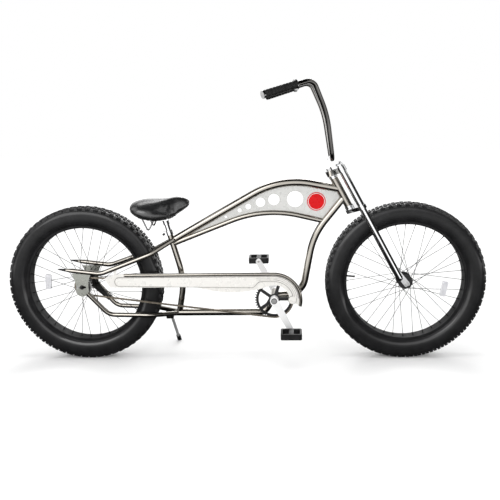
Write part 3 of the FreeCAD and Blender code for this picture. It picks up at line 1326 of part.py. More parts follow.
def guard_panel(flat, round_bracket):
    """Outline of the guard's raised panel, which narrows into the hook by a step"""
    upper = GUARD_OUTER_RADIUS - 2 * GUARD_BEAD - GUARD_PANEL_TOP_MARGIN
    lower = GUARD_RIB_FIRST
    top = BOTTOM_BRACKET_HEIGHT + upper
    rear_bottom = flat(GUARD_PANEL_REAR + GUARD_PANEL_CORNER, GUARD_LOWER_HEIGHT + GUARD_PANEL_REAR_MARGIN)
    rear_top = flat(GUARD_PANEL_REAR + GUARD_PANEL_CORNER, top)
    rear_middle = flat(GUARD_PANEL_REAR, (rear_bottom.z + rear_top.z) / 2)
    front = flat(GUARD_PANEL_FRONT, GUARD_LOWER_HEIGHT - GUARD_PANEL_FRONT_DROP)
    stepped = flat(GUARD_PANEL_FRONT + GUARD_PANEL_STEP, BOTTOM_BRACKET_HEIGHT + lower)
    middle = (QUARTER_TURN + GUARD_RIB_END_ANGLE) / 2
    lower_crest, upper_crest = round_bracket(lower, QUARTER_TURN), round_bracket(upper, QUARTER_TURN)
    lower_end = round_bracket(lower, GUARD_RIB_END_ANGLE)
    upper_end = round_bracket(upper, GUARD_RIB_END_ANGLE)
    return Part.Face(Part.Wire([
        Part.LineSegment(rear_bottom, front).toShape(),
        *s_curve(front, stepped),
        Part.LineSegment(stepped, lower_crest).toShape(),
        Part.Arc(lower_crest, round_bracket(lower, middle), lower_end).toShape(),
        Part.LineSegment(lower_end, upper_end).toShape(),
        Part.Arc(upper_end, round_bracket(upper, middle), upper_crest).toShape(),
        Part.LineSegment(upper_crest, rear_top).toShape(),
        Part.Arc(rear_top, rear_middle, rear_bottom).toShape()]))


def chain_guard(solids):
    """Pressed guard with a rolled top bead, a raised panel, hook ribs and two straps to the frame"""
    inner_face = -GUARD_FACE + GUARD_SHEET

    def flat(forward, height):
        return Vector(forward, -GUARD_FACE, height)

    def round_bracket(radius, angle):
        return polar(BOTTOM_BRACKET, radius, angle, -GUARD_FACE)

    top = BOTTOM_BRACKET_HEIGHT + GUARD_OUTER_RADIUS
    rear_tip = flat(GUARD_REAR, GUARD_REAR_HEIGHT)
    shoulder = flat(GUARD_SHOULDER, top)
    heel = flat(GUARD_LOWER_REAR, GUARD_LOWER_HEIGHT)
    belly = flat(GUARD_BELLY_START, GUARD_LOWER_HEIGHT)
    inner_start = round_bracket(GUARD_INNER_RADIUS, GUARD_INNER_START_ANGLE)
    inner_end = round_bracket(GUARD_INNER_RADIUS, GUARD_INNER_END_ANGLE)
    outer_end = round_bracket(GUARD_OUTER_RADIUS, GUARD_END_ANGLE)
    crest = round_bracket(GUARD_OUTER_RADIUS, QUARTER_TURN)
    inner_middle = (GUARD_INNER_START_ANGLE + GUARD_INNER_END_ANGLE) / 2
    outer_middle = (GUARD_END_ANGLE + QUARTER_TURN) / 2
    swell = flat((GUARD_REAR + GUARD_SHOULDER) / 2, top - (top - GUARD_REAR_HEIGHT) / 4)
    edges = [
        Part.LineSegment(heel, belly).toShape(),
        Part.Arc(belly, flat(GUARD_BELLY, GUARD_BELLY_HEIGHT), inner_start).toShape(),
        Part.Arc(inner_start, round_bracket(GUARD_INNER_RADIUS, inner_middle), inner_end).toShape(),
        Part.LineSegment(inner_end, outer_end).toShape(),
        Part.Arc(outer_end, round_bracket(GUARD_OUTER_RADIUS, outer_middle), crest).toShape(),
        Part.LineSegment(crest, shoulder).toShape(),
        Part.Arc(shoulder, swell, rear_tip).toShape(),
        Part.LineSegment(rear_tip, heel).toShape()]
    sheet = Part.Face(Part.Wire(edges)).extrude(Y * GUARD_SHEET)

    bead_radius = GUARD_OUTER_RADIUS - GUARD_BEAD
    bead_middle = BOTTOM_BRACKET + Y * inner_face
    bead_top = bead_middle + Z * bead_radius
    bead_rear = Vector(GUARD_SHOULDER, inner_face, bead_top.z)

    def bead_tube(bore):
        bend = ring_face(bead_top, X, GUARD_BEAD, bore)
        bend = bend.revolve(bead_middle, Y, QUARTER_TURN - GUARD_END_ANGLE)
        return fuse([rod(bead_rear, bead_top, GUARD_BEAD, bore), bend])

    boss_back = BOTTOM_BRACKET + X * GUARD_BOSS_FORWARD + Y * inner_face
    boss = rod(boss_back, boss_back - Y * (GUARD_SHEET + GUARD_BOSS_HEIGHT), GUARD_BOSS_RADIUS)
    panel = guard_panel(flat, round_bracket).extrude(Y * -GUARD_PANEL_RISE)
    rib_face = -GUARD_FACE - GUARD_PANEL_RISE
    ribs = []
    for index in range(1, GUARD_RIB_COUNT + 1):
        radius = GUARD_RIB_FIRST + index * GUARD_RIB_SPACING
        crown = polar(BOTTOM_BRACKET, radius, QUARTER_TURN, rib_face)
        ribs.append(rod(crown - X * GUARD_RIB_SETBACK, crown, GUARD_RIB_RADIUS))
        section = ring_face(crown, X, GUARD_RIB_RADIUS, 0)
        ribs.append(section.revolve(BOTTOM_BRACKET, Y, QUARTER_TURN - GUARD_RIB_END_ANGLE))

    strap_hub = polar(BOTTOM_BRACKET, bead_radius, GUARD_FRONT_STRAP_ANGLE)
    half_strap = GUARD_STRAP_WIDTH / 2
    front_strap = box(Vector(strap_hub.x - half_strap, inner_face, strap_hub.z),
                      Vector(strap_hub.x + half_strap, 0, strap_hub.z + GUARD_STRAP_THICKNESS))
    rear_strap = box(
        Vector(GUARD_REAR_STRAP_FORWARD - half_strap, inner_face, (top + GUARD_LOWER_HEIGHT) / 2),
        Vector(GUARD_REAR_STRAP_FORWARD + half_strap, inner_face + GUARD_STRAP_THICKNESS,
               top + 2 * GUARD_STRAP_WIDTH))
    bead = bead_tube(0)
    guard = fuse([sheet, boss, panel] + ribs + [rear_strap])
    PARTS["chain_guard"] = cut(guard, [bead, solids["seat_stay", RIGHT]])
    front_strap = cut(front_strap, [bead, solids["down"]])
    PARTS["chain_guard_bead"] = fuse([bead_tube(GUARD_BEAD - GUARD_BEAD_WALL), front_strap])


def coaster_brake():
    """Brake plate on the left of the rear hub, with its arm clipped to the left chain stay"""
    rear, bend = chain_stay_line(LEFT)[0][:2]
    stay_point = rear + (bend - rear) * BRAKE_ARM_REACH
    face = REAR_HUB_END + HUB_END_GAP / 2
    start = REAR_AXLE + Y * (face + BRAKE_ARM_THICKNESS)
    arm = rounded_plate([
        (0, 0, BRAKE_DISC_RADIUS),
        (stay_point.x, stay_point.z - AXLE_HEIGHT, BRAKE_ARM_TIP_RADIUS)], BRAKE_ARM_THICKNESS)
    arm = stand(arm, start, X, Z).cut(rod(REAR_AXLE, REAR_AXLE + Y * REAR_HUB_SPACING, SPACER_RADIUS))
    along = (bend - rear).normalize() * (BRAKE_CLIP_WIDTH / 2)
    clip = rod(stay_point - along, stay_point + along, STAY_RADIUS + BRAKE_CLIP_WALL, STAY_RADIUS)
    lug = rod(Vector(stay_point.x, face, stay_point.z), stay_point, BRAKE_ARM_TIP_RADIUS / 2)
    stay = rod(stay_point - along * 2, stay_point + along * 2, STAY_RADIUS)
    PARTS["coaster_brake_arm"] = cut(fuse([arm, clip, lug]), [stay])


def kickstand(solids):
    """Side stand on a slanted pivot under the left chain stay, shown folded out"""
    pivot = Vector(*KICKSTAND_PIVOT)
    foot = Vector(KICKSTAND_FOOT_FORWARD, KICKSTAND_FOOT_SPREAD, 0)
    out = (foot - pivot).normalize()
    axis = out.cross(Vector(*KICKSTAND_STOWED)).normalize()
    half = KICKSTAND_BLOCK_LENGTH / 2
    block = box(Vector(pivot.x - half, KICKSTAND_BLOCK_INNER, KICKSTAND_BLOCK_BOTTOM),
                Vector(pivot.x + half, pivot.y + half, BOTTOM_TUBE_HEIGHT))
    beyond = Part.makeBox(8 * half, 8 * half, 8 * half, Vector(-4 * half, -4 * half, 0))
    beyond.Placement = FreeCAD.Placement(pivot, FreeCAD.Rotation(Z, axis))
    block = cut(block, [beyond, solids["chain_stay", LEFT], solids["bottom"], solids["seat"]])
    eye_length = 2 * (KICKSTAND_LEG_RADIUS + KICKSTAND_EYE_LIP)
    eye_low = pivot + axis * CLEARANCE
    eye_high = eye_low + axis * eye_length
    head = eye_high + axis * CLEARANCE
    pin = fuse([
        rod(pivot - axis * eye_length, head, KICKSTAND_PIN_RADIUS),
        rod(head, head + axis * KICKSTAND_PIN_HEAD_HEIGHT, KICKSTAND_PIN_HEAD)])
    PARTS["kickstand_bracket"] = fuse([block, pin])
    middle = (eye_low + eye_high) * 0.5
    leg_end = middle + out * ((middle.z - KICKSTAND_FOOT_COVER) / -out.z)
    eye = rod(eye_low, eye_high, KICKSTAND_EYE_RADIUS)
    bore = rod(eye_low, eye_high, KICKSTAND_PIN_RADIUS + RUN_FIT)
    leg = rod(middle, leg_end, KICKSTAND_LEG_RADIUS)
    PARTS["kickstand_leg"] = fuse([eye, leg]).cut(bore)
    sole = leg_end + out * (2 * KICKSTAND_FOOT_COVER + KICKSTAND_FOOT_RADIUS)
    sleeve = rod(leg_end - out * KICKSTAND_FOOT_LENGTH, sole, KICKSTAND_FOOT_RADIUS)
    reach = 4 * KICKSTAND_FOOT_LENGTH
    ground = box(sole - Vector(reach, reach, reach), Vector(sole.x + reach, sole.y + reach, 0))
    PARTS["kickstand_foot"] = cut(sleeve, [leg, ground])


def saddle_section(offset, half_width, bottom, top):
    """Saddle cross-section with a crowned top and drawn-in sides"""
    rise = top - bottom
    place = seat_point(SEAT_POST_TOP) + X * offset

    def corner(spread, height):
        return place + Vector(0, spread, height)

    foot = half_width * SADDLE_TUCK
    brow = half_width * SADDLE_BROW
    swell_height = bottom + rise * SADDLE_SWELL_SHARE
    brow_height = bottom + rise * SADDLE_BROW_SHARE
    right_foot, left_foot = corner(-foot, bottom), corner(foot, bottom)
    right_swell, left_swell = corner(-half_width, swell_height), corner(half_width, swell_height)
    right_brow, left_brow = corner(-brow, brow_height), corner(brow, brow_height)
    return Part.Wire([
        Part.Arc(right_foot, right_swell, right_brow).toShape(),
        Part.Arc(right_brow, corner(0, top), left_brow).toShape(),
        Part.Arc(left_brow, left_swell, left_foot).toShape(),
        Part.LineSegment(left_foot, right_foot).toShape()])


def rail_line(side):
    top = seat_point(SEAT_POST_TOP)
    under_base = SADDLE_BASE_LIFT - RAIL_RADIUS - CLEARANCE
    spring_top = RAIL_HEIGHT + RAIL_RADIUS
    half_clamp = SADDLE_CLAMP_LENGTH / 2 + RAIL_BEND
    places = (
        (RAIL_FRONT_REACH, RAIL_FRONT_SPREAD, under_base),
        (half_clamp, RAIL_SPREAD, RAIL_HEIGHT),
        (-half_clamp, RAIL_SPREAD, RAIL_HEIGHT),
        (-RAIL_SPRING_FRONT, (RAIL_SPREAD + RAIL_SPRING_SPREAD) / 2, spring_top),
        (-RAIL_SPRING_TIP, RAIL_SPRING_SPREAD, spring_top - RAIL_SPRING_DROP),
        (-RAIL_SPRING_REAR, RAIL_SPRING_SPREAD, under_base))
    points = [top + sided(place, side) for place in places]
    return points, [RAIL_BEND, RAIL_BEND, RAIL_BEND, RAIL_TIP_BEND]


def saddle():
    """Seat post, clamp, sprung wire rails, base plate and padded cover"""
    top = seat_point(SEAT_POST_TOP)
    post_solid = rod(seat_point(SEAT_POST_BOTTOM), top, SEAT_POST_RADIUS)
    PARTS["seat_post"] = rod(seat_point(SEAT_POST_BOTTOM), top, SEAT_POST_RADIUS, SEAT_POST_BORE)
    rails = [bent_tube(*rail_line(side), RAIL_RADIUS) for side in (LEFT, RIGHT)]
    PARTS["saddle_rails"] = Part.Compound(rails)
    half_length = SADDLE_CLAMP_LENGTH / 2
    half_width = SADDLE_CLAMP_WIDTH / 2
    block = box(top + Vector(-half_length, -half_width, RAIL_HEIGHT - SADDLE_CLAMP_THICKNESS / 2),
                top + Vector(half_length, half_width, RAIL_HEIGHT + SADDLE_CLAMP_THICKNESS / 2))
    socket = rod(seat_point(SEAT_POST_TOP - SADDLE_SOCKET_DEPTH), top, SADDLE_SOCKET_RADIUS)
    PARTS["saddle_clamp"] = cut(fuse([block, socket]), [post_solid] + rails)

    def base_outline(grow, low, high):
        corners = [
            Vector(-SADDLE_BASE_REAR - grow, -SADDLE_BASE_REAR_WIDTH / 2 - grow, low),
            Vector(SADDLE_BASE_FRONT + grow, -SADDLE_BASE_FRONT_WIDTH / 2 - grow, low),
            Vector(SADDLE_BASE_FRONT + grow, SADDLE_BASE_FRONT_WIDTH / 2 + grow, low),
            Vector(-SADDLE_BASE_REAR - grow, SADDLE_BASE_REAR_WIDTH / 2 + grow, low)]
        corners = [top + corner for corner in corners]
        return Part.Face(Part.makePolygon(corners + corners[:1])).extrude(Z * (high - low))

    base_top = SADDLE_BASE_LIFT + SADDLE_BASE_THICKNESS
    PARTS["saddle_base"] = base_outline(0, SADDLE_BASE_LIFT, base_top)
    padding = Part.makeLoft([saddle_section(*station) for station in SADDLE_STATIONS], True)
    pocket = base_outline(CLEARANCE, -SADDLE_BASE_REAR, base_top + CLEARANCE)
    PARTS["saddle_cover"] = cut(padding, [pocket])


def write_parts():
    os.makedirs("parts", exist_ok=True)
    for name, shape in PARTS.items():
        shape.translate(X * (-WHEELBASE / 2))
        shape.exportStep("parts/" + name + ".step")


def main():
    solids = head_and_frame_tubes()
    rear_triangle(solids)
    bearing_cups()
    collar_bolt = seat_collar()
    rear_nuts = axle_nuts(REAR_AXLE, REAR_HUB_SPACING / 2 + DROPOUT_THICKNESS)
    PARTS["frame_fasteners"] = Part.Compound(rear_nuts + [collar_bolt])
    steering_stem()
    fork_legs()
    crowns_and_clamp(handlebar())
    axles()
    wheels()
    transmission()
    cranks()
    chain_guard(solids)
    coaster_brake()
    kickstand(solids)
    saddle()
    write_parts()


main()
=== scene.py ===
import json
import math
import bmesh
import bpy
from mathutils import Matrix, Vector


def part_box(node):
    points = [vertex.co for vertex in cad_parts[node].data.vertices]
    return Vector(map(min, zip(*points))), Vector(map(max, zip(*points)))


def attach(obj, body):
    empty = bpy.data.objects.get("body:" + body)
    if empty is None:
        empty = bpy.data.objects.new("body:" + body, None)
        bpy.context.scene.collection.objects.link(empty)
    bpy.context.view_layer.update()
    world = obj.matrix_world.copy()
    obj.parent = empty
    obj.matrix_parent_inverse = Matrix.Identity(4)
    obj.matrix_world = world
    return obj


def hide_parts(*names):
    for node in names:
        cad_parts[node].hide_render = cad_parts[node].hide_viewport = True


# Looks of the stretched cruiser bicycle. Lengths are in metres and angles in degrees, in the frame's axes:
# X forward, Y to the rider's left, Z up from the ground.

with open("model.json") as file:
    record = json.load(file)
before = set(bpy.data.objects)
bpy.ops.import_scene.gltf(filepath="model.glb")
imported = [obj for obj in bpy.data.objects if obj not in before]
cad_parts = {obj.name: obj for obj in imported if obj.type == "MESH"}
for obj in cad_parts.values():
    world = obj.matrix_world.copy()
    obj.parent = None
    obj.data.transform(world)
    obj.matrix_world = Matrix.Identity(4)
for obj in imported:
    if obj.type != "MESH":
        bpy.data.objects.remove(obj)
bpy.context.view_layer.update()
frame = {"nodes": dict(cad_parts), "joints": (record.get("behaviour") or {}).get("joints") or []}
NODES = frame["nodes"]
JOINTS = {joint["name"]: joint for joint in frame["joints"]}

# Camera
CAMERA_PLACE = (0.2184, -3.1727, 1.2020)
CAMERA_YAW = 3.3397
CAMERA_PITCH = -11.9557
CAMERA_ROLL = 1.2771
SENSOR_WIDTH = 36.0
LENS = 49.1

# Floor: half its width, then distances over which its glow rises, and the glow there
FLOOR_REACH = 14.0
FLOOR_LIFT = (2.2, 5.5, 0.08, 0.75)
# Floor in reflections: distances to the side over which it brightens, and its brightness there
FLOOR_MIRRORED = (0.9, 2.4, 0.012, 1.7)
# Reflected studio: the way to its bright side, then from the far side to it the share of the way and brightness
STUDIO_WAY = (-0.33, -0.94, 0.05)
STUDIO_STOPS = (
    (0.0, 1.15), (0.06, 1.0), (0.13, 0.3), (0.20, 0.012), (0.72, 0.012), (0.82, 0.40), (0.90, 1.25), (1.0, 1.60))
AMBIENT = 0.38

# Wheels
AXLES = {
    "front": Vector(JOINTS["front_wheel_spin"]["pos_m"]),
    "rear": Vector(JOINTS["rear_wheel_spin"]["pos_m"])}
TYRE_RADIUS = AXLES["rear"].z
TREAD_DEPTH = 0.0052
CASING_WALL = 0.0035
CASING_SEGMENTS = 160
KNOB_PITCHES = 60
KNOB_TAPER = 0.88
# Tread rows: distance from the middle plane, width, length along the tread, drop of the top, share of a pitch
KNOB_ROWS = (
    (0.0080, 0.013, 0.0165, 0.0, 0.0),
    (0.0240, 0.014, 0.0165, 0.0008, 0.5),
    (0.0375, 0.011, 0.0175, 0.0052, 0.0))
# Casing outline from the bead to the crown: distance from the middle plane, radius
CASING = (
    (0.0325, 0.2792), (0.0326, 0.2872), (0.0388, 0.2921), (0.0440, 0.3005), (0.0476, 0.3120), (0.0491, 0.3250),
    (0.0489, 0.3370), (0.0470, 0.3480), (0.0430, 0.3580), (0.0360, 0.3648), (0.0250, 0.3688), (0.0120, 0.3698))
# Sidewall: radii over which its roughness rises to the tread's, roughness there, spacing of its rings
MATTE_TREAD = (0.342, 0.352, 0.45, 0.62)
SIDEWALL_RING = 0.0042
# Polished band of the sidewall: its radius, and half-widths and coats at its middle and past its edge
POLISHED_RADIUS = 0.302
POLISHED_BAND = (0.003, 0.009, 1.0, 0.12)
# Coat of the tread: radii over which it begins, and its weight before and after
TREAD_COAT = (0.340, 0.348, 0.0, 0.6)
# Spokes: count, angle from hub to rim, places of their ends
SPOKE_COUNT = 36
SPOKE_CROSS = 60.0
RIM_RADIUS = 0.275
HUB_RADIUS = 0.034
FLANGE_REACH = {"front": 0.031, "rear": 0.036}
SPOKE_STAGGER = 0.0015
SPOKE_RIM_REACH = 0.003
NIPPLE_LENGTH = 0.012
NIPPLE_RADIUS = 0.0021
NIPPLE_SINK = 0.0002
# Spoke heads: how far in from the spoke's end, overlap with the spoke, distance to the side, half height
HEAD_RUN = 0.0036
HEAD_OVERLAP = 0.0008
HEAD_REACH = 0.0012
HEAD_HALF = 0.0009
# Stations of a spoke's bend and of its head: share of the length, radius
BEND_STATIONS = ((0.0, 0.0010), (1.0, 0.0012))
HEAD_STATIONS = ((0.0, 0.0021), (0.7, 0.0021), (1.0, 0.0012))
# Valves: angle about the axle, radius of the stem's end, size of the cap
VALVE_ANGLES = {"front": 175.0, "rear": 25.0}
VALVE_END = 0.241
VALVE_CAP_LENGTH = 0.011
VALVE_CAP_RADIUS = 0.0046

# Saddle: its base plate's rear edge and underside lie this far from the post's top
SADDLE_BASE_REAR = 0.108
SADDLE_BASE_LIFT = 0.018
SADDLE_POCKET = 0.0225
# Stations: forward of the post's top, half width, underside and crest above it
SADDLE_STATIONS = (
    (-0.1600, 0.040, 0.050, 0.066), (-0.1540, 0.072, 0.041, 0.076), (-0.1300, 0.102, 0.026, 0.086),
    (-0.0920, 0.117, 0.012, 0.092), (-0.0500, 0.113, 0.002, 0.093), (-0.0200, 0.098, -0.002, 0.093),
    (0.0080, 0.076, -0.001, 0.094), (0.0300, 0.058, 0.004, 0.097), (0.0550, 0.045, 0.018, 0.101),
    (0.0800, 0.036, 0.036, 0.104), (0.1050, 0.028, 0.054, 0.101), (0.1180, 0.021, 0.063, 0.094),
    (0.1230, 0.012, 0.070, 0.086))
SADDLE_RINGS = 40
# Cross-section: steps over its top and down its skirt, belly's share of the height, roundness of the top, tuck of
# the skirt, then shares of the half width for the lip, the pocket's wall, its upper edge and its ceiling
SADDLE_TOP_STEPS = 12
SADDLE_SKIRT_STEPS = 6
SADDLE_BELLY = 0.36
SADDLE_ROUND = 0.95
SADDLE_TUCK = 0.10
SADDLE_LIP = (0.86, 0.85, 0.84, 0.42)
SADDLE_LIP_RISE = 0.0005
SADDLE_CEILING_GAP = 0.001
SADDLE_VOXEL = 0.005
SADDLE_PRESSURE = 4.0
SADDLE_SWELL = 0.005
SADDLE_FRAMES = 20

# Emblem: inner and outer radius of its ring, and its height
EMBLEM_RING = (0.0365, 0.0390)
EMBLEM_RISE = 0.0006

# Chain guard, from the crank's axle: each hook ridge's radius and how far back it runs, the angle where it begins,
# the raised panel's front step and rear end, the guard's face, the ridges' size, and the boss's place and radii
CRANK_AXLE = Vector(JOINTS["crank_spin"]["pos_m"])
HOOK_RIDGES = ((0.090, 0.063), (0.098, 0.082), (0.106, 0.082), (0.114, 0.7334))
HOOK_END_ANGLE = 4.0
PANEL_STEP = (0.063, 0.104, 0.061)
PANEL_REAR = (0.7334, 0.7534, 0.072)
GUARD_FACE = -0.0855
RIDGE_HALF = 0.0014
RIDGE_RISE = 0.0012
RIDGE_SECTION = ((-1.0, 0.0), (-0.6, 0.8), (0.0, 1.0), (0.6, 0.8), (1.0, 0.0))
HOOK_STEPS = 24
PANEL_STEPS = 12
GUARD_BOSS = (0.086, 0.018, 0.0206)
BOSS_FACE = -0.084

# Crank bolts: inner and outer radius of their washers, faces of the cranks
BOLT_WASHER = (0.0110, 0.0140)
CRANK_FACE = 0.105
# Washers: height at the inner edge, height and narrowing at the outer edge
WASHER_RISE = 0.0012
WASHER_EDGE = (0.0008, 0.0006)

# Stays: end of a stay, its way forward, length and radii of its cap, and how far that passes the end
STAY_TIP = (-0.8705, 0.098, 0.466)
STAY_WAY = (0.202, -0.004, -0.025)
STAY_CAP = (0.038, 0.0024, 0.0072)
STAY_CAP_PASS = 0.0006

# Chain links: plates, their faces from the chain's middle, pins and rollers
PLATE_RADIUS = 0.0041
PLATE_WAIST = 0.0030
PLATE_SEGMENTS = 7
CHAIN_LINE = -0.066
INNER_PLATE = (0.00165, 0.00265)
OUTER_PLATE = (0.00275, 0.00375)
PIN_RADIUS = 0.0018
PIN_REACH = 0.0044
ROLLER_RADIUS = 0.0039
# Solids of the chain that are shorter than this many roller radii are its rollers
ROLLER_LIMIT = 2.2

# Part of a noise texture's range that a finish spreads over
NOISE_LOW = 0.3
NOISE_HIGH = 0.7


def new_object(name, mesh, body, material):
    """Put a finished mesh in the scene, riding on a body"""
    piece = bpy.data.objects.new(name, mesh)
    bpy.context.scene.collection.objects.link(piece)
    mesh.materials.append(material)
    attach(piece, body)
    return piece


def shade_smooth(mesh):
    mesh.polygons.foreach_set("use_smooth", [True] * len(mesh.polygons))


def mesh_from(build, name, smooth=True):
    """Mesh made by a function that fills a bmesh"""
    work = bmesh.new()
    build(work)
    bmesh.ops.recalc_face_normals(work, faces=work.faces)
    mesh = bpy.data.meshes.new(name)
    work.to_mesh(mesh)
    work.free()
    if smooth:
        shade_smooth(mesh)
    return mesh


# Materials


class Surface:
    """Principled material with the node helpers that the finishes share"""

    def __init__(self, name):
        self.material = bpy.data.materials.new(name)
        self.material.use_nodes = True
        self.tree = self.material.node_tree
        self.shader = self.tree.nodes["Principled BSDF"]
        self.place = self.add("ShaderNodeTexCoord").outputs["Object"]
        self.normal = None

    def add(self, kind, **settings):
        node = self.tree.nodes.new(kind)
        for key, value in settings.items():
            setattr(node, key, value)
        return node

    def link(self, source, target):
        self.tree.links.new(source, target)

    def set(self, **values):
        for key, value in values.items():
            self.shader.inputs[key.replace("_", " ")].default_value = value

    def noise(self, scale, detail=3.0, stretch=None):
        texture = self.add("ShaderNodeTexNoise")
        texture.inputs["Scale"].default_value = scale
        texture.inputs["Detail"].default_value = detail
        source = self.place
        if stretch is not None:
            mapping = self.add("ShaderNodeMapping")
            mapping.inputs["Scale"].default_value = stretch
            self.link(source, mapping.inputs["Vector"])
            source = mapping.outputs["Vector"]
        self.link(source, texture.inputs["Vector"])
        return texture.outputs["Fac"]

    def colour(self, factor, low, high):
        ramp = self.add("ShaderNodeValToRGB")
        first, last = ramp.color_ramp.elements
        first.position, last.position = NOISE_LOW, NOISE_HIGH
        first.color = (*low, 1.0)
        last.color = (*high, 1.0)
        self.link(factor, ramp.inputs["Fac"])
        self.link(ramp.outputs["Color"], self.shader.inputs["Base Color"])

    def ranged(self, source, values):
        """Value that goes from the third number to the fourth as the source goes from the first to the second"""
        spread = self.add("ShaderNodeMapRange")
        self.link(source, spread.inputs["Value"])
        for socket, value in zip(("From Min", "From Max", "To Min", "To Max"), values):
            spread.inputs[socket].default_value = value
        return spread.outputs["Result"]

    def roughness(self, factor, low, high):
        self.link(self.ranged(factor, (NOISE_LOW, NOISE_HIGH, low, high)), self.shader.inputs["Roughness"])

    def bump(self, height, strength, distance):
        node = self.add("ShaderNodeBump")
        node.inputs["Strength"].default_value = strength
        node.inputs["Distance"].default_value = distance
        self.link(height, node.inputs["Height"])
        if self.normal is not None:
            self.link(self.normal, node.inputs["Normal"])
        self.normal = node.outputs["Normal"]
        self.link(self.normal, self.shader.inputs["Normal"])

    def maths(self, operation, first, second=0.0):
        node = self.add("ShaderNodeMath", operation=operation)
        for socket, value in zip(node.inputs, (first, second)):
            if isinstance(value, (int, float)):
                socket.default_value = value
            else:
                self.link(value, socket)
        return node.outputs["Value"]

    def radius_from(self, centre):
        """Distance from a crosswise axle"""
        shift = self.add("ShaderNodeVectorMath", operation="SUBTRACT")
        shift.inputs[1].default_value = centre
        self.link(self.place, shift.inputs[0])
        flat = self.add("ShaderNodeVectorMath", operation="MULTIPLY")
        flat.inputs[1].default_value = (1.0, 0.0, 1.0)
        self.link(shift.outputs["Vector"], flat.inputs[0])
        length = self.add("ShaderNodeVectorMath", operation="LENGTH")
        self.link(flat.outputs["Vector"], length.inputs[0])
        return length.outputs["Value"]


def glow(surface, strength):
    node = surface.add("ShaderNodeEmission")
    surface.link(strength, node.inputs["Strength"])
    return node.outputs["Emission"]


def mixed(surface, factor, first, second):
    node = surface.add("ShaderNodeMixShader")
    surface.link(factor, node.inputs["Fac"])
    surface.link(first, node.inputs[1])
    surface.link(second, node.inputs[2])
    return node.outputs["Shader"]


def frame_paint():
    """Warm pewter metallic under a clear coat, with fine flake"""
    surface = Surface("pewter_paint")
    surface.set(Metallic=1.0, Coat_Weight=0.4, Coat_Roughness=0.05)
    surface.colour(surface.noise(900.0, 1.0), (0.33, 0.308, 0.272), (0.42, 0.395, 0.356))
    surface.roughness(surface.noise(14.0), 0.11, 0.17)
    surface.bump(surface.noise(1600.0, 1.0), 0.05, 0.0002)
    return surface.material


def pale_paint(name, low, high, metallic):
    """Pale satin metallic paint with soft mottling and an orange-peel skin"""
    surface = Surface(name)
    surface.set(Metallic=metallic, Coat_Weight=0.25, Coat_Roughness=0.12)
    surface.colour(surface.noise(7.0), low, high)
    surface.roughness(surface.noise(40.0), 0.26, 0.30)
    surface.bump(surface.noise(420.0, 1.0), 0.008, 0.0003)
    return surface.material


def chrome(name, low, high):
    """Plating with faint polishing marks and handling haze"""
    surface = Surface(name)
    surface.set(Metallic=1.0)
    surface.colour(surface.noise(5.0), low, high)
    surface.roughness(surface.noise(30.0), 0.06, 0.13)
    surface.bump(surface.noise(260.0, 2.0, (1.0, 0.15, 1.0)), 0.02, 0.0003)
    return surface.material


def steel(name, low, high, rough, metallic=1.0):
    """Drawn or machined steel with streaks along one way"""
    surface = Surface(name)
    surface.set(Metallic=metallic)
    surface.colour(surface.noise(60.0), low, high)
    surface.roughness(surface.noise(35.0), rough, rough + 0.15)
    surface.bump(surface.noise(500.0, 2.0, (1.0, 0.08, 1.0)), 0.12, 0.0003)
    return surface.material


def polished_alloy():
    """Satin-polished alloy with soft brushing along the arm"""
    surface = Surface("polished_alloy")
    surface.set(Metallic=0.05, Specular_IOR_Level=0.5)
    surface.colour(surface.noise(12.0), (0.95, 0.95, 0.95), (0.98, 0.98, 0.98))
    surface.roughness(surface.noise(30.0), 0.3, 0.4)
    surface.bump(surface.noise(300.0, 2.0, (1.0, 0.2, 1.0)), 0.03, 0.0003)
    return surface.material


def black_enamel(name, gloss, rough):
    """Black enamel with a slight skin and dust-grey scuffs"""
    surface = Surface(name)
    surface.set(Specular_IOR_Level=gloss)
    surface.colour(surface.noise(22.0), (0.007, 0.007, 0.0075), (0.016, 0.016, 0.017))
    surface.roughness(surface.noise(50.0), rough, rough + 0.12)
    surface.bump(surface.noise(380.0, 1.0), 0.08, 0.0004)
    return surface.material


def tyre_rubber(name, centre):
    """Rubber with a ringed sidewall, a polished band, a matte tread under a thin coat, and dusty blooms"""
    surface = Surface(name)
    surface.set(Specular_IOR_Level=0.2, Coat_Roughness=0.07)
    surface.colour(surface.noise(18.0, 4.0), (0.008, 0.008, 0.0085), (0.016, 0.016, 0.017))
    radius = surface.radius_from(centre)
    matte = surface.ranged(radius, MATTE_TREAD)
    blotch = surface.ranged(surface.noise(70.0), (NOISE_LOW, NOISE_HIGH, -0.04, 0.04))
    surface.link(surface.maths("ADD", matte, blotch), surface.shader.inputs["Roughness"])
    off_band = surface.maths("ABSOLUTE", surface.maths("SUBTRACT", radius, POLISHED_RADIUS))
    band = surface.ranged(off_band, POLISHED_BAND)
    coat = surface.maths("MAXIMUM", band, surface.ranged(radius, TREAD_COAT))
    surface.link(coat, surface.shader.inputs["Coat Weight"])
    rings = surface.maths("SINE", surface.maths("MULTIPLY", radius, 2 * math.pi / SIDEWALL_RING))
    surface.bump(rings, 0.12, 0.0006)
    surface.bump(surface.noise(700.0, 2.0), 0.1, 0.0003)
    return surface.material


def soft_rubber():
    """Moulded grip rubber with a fine pebble"""
    surface = Surface("soft_rubber")
    surface.set(Specular_IOR_Level=0.35)
    surface.colour(surface.noise(45.0), (0.006, 0.006, 0.006), (0.014, 0.014, 0.014))
    surface.roughness(surface.noise(80.0), 0.5, 0.65)
    surface.bump(surface.noise(1100.0, 2.0), 0.3, 0.0004)
    return surface.material


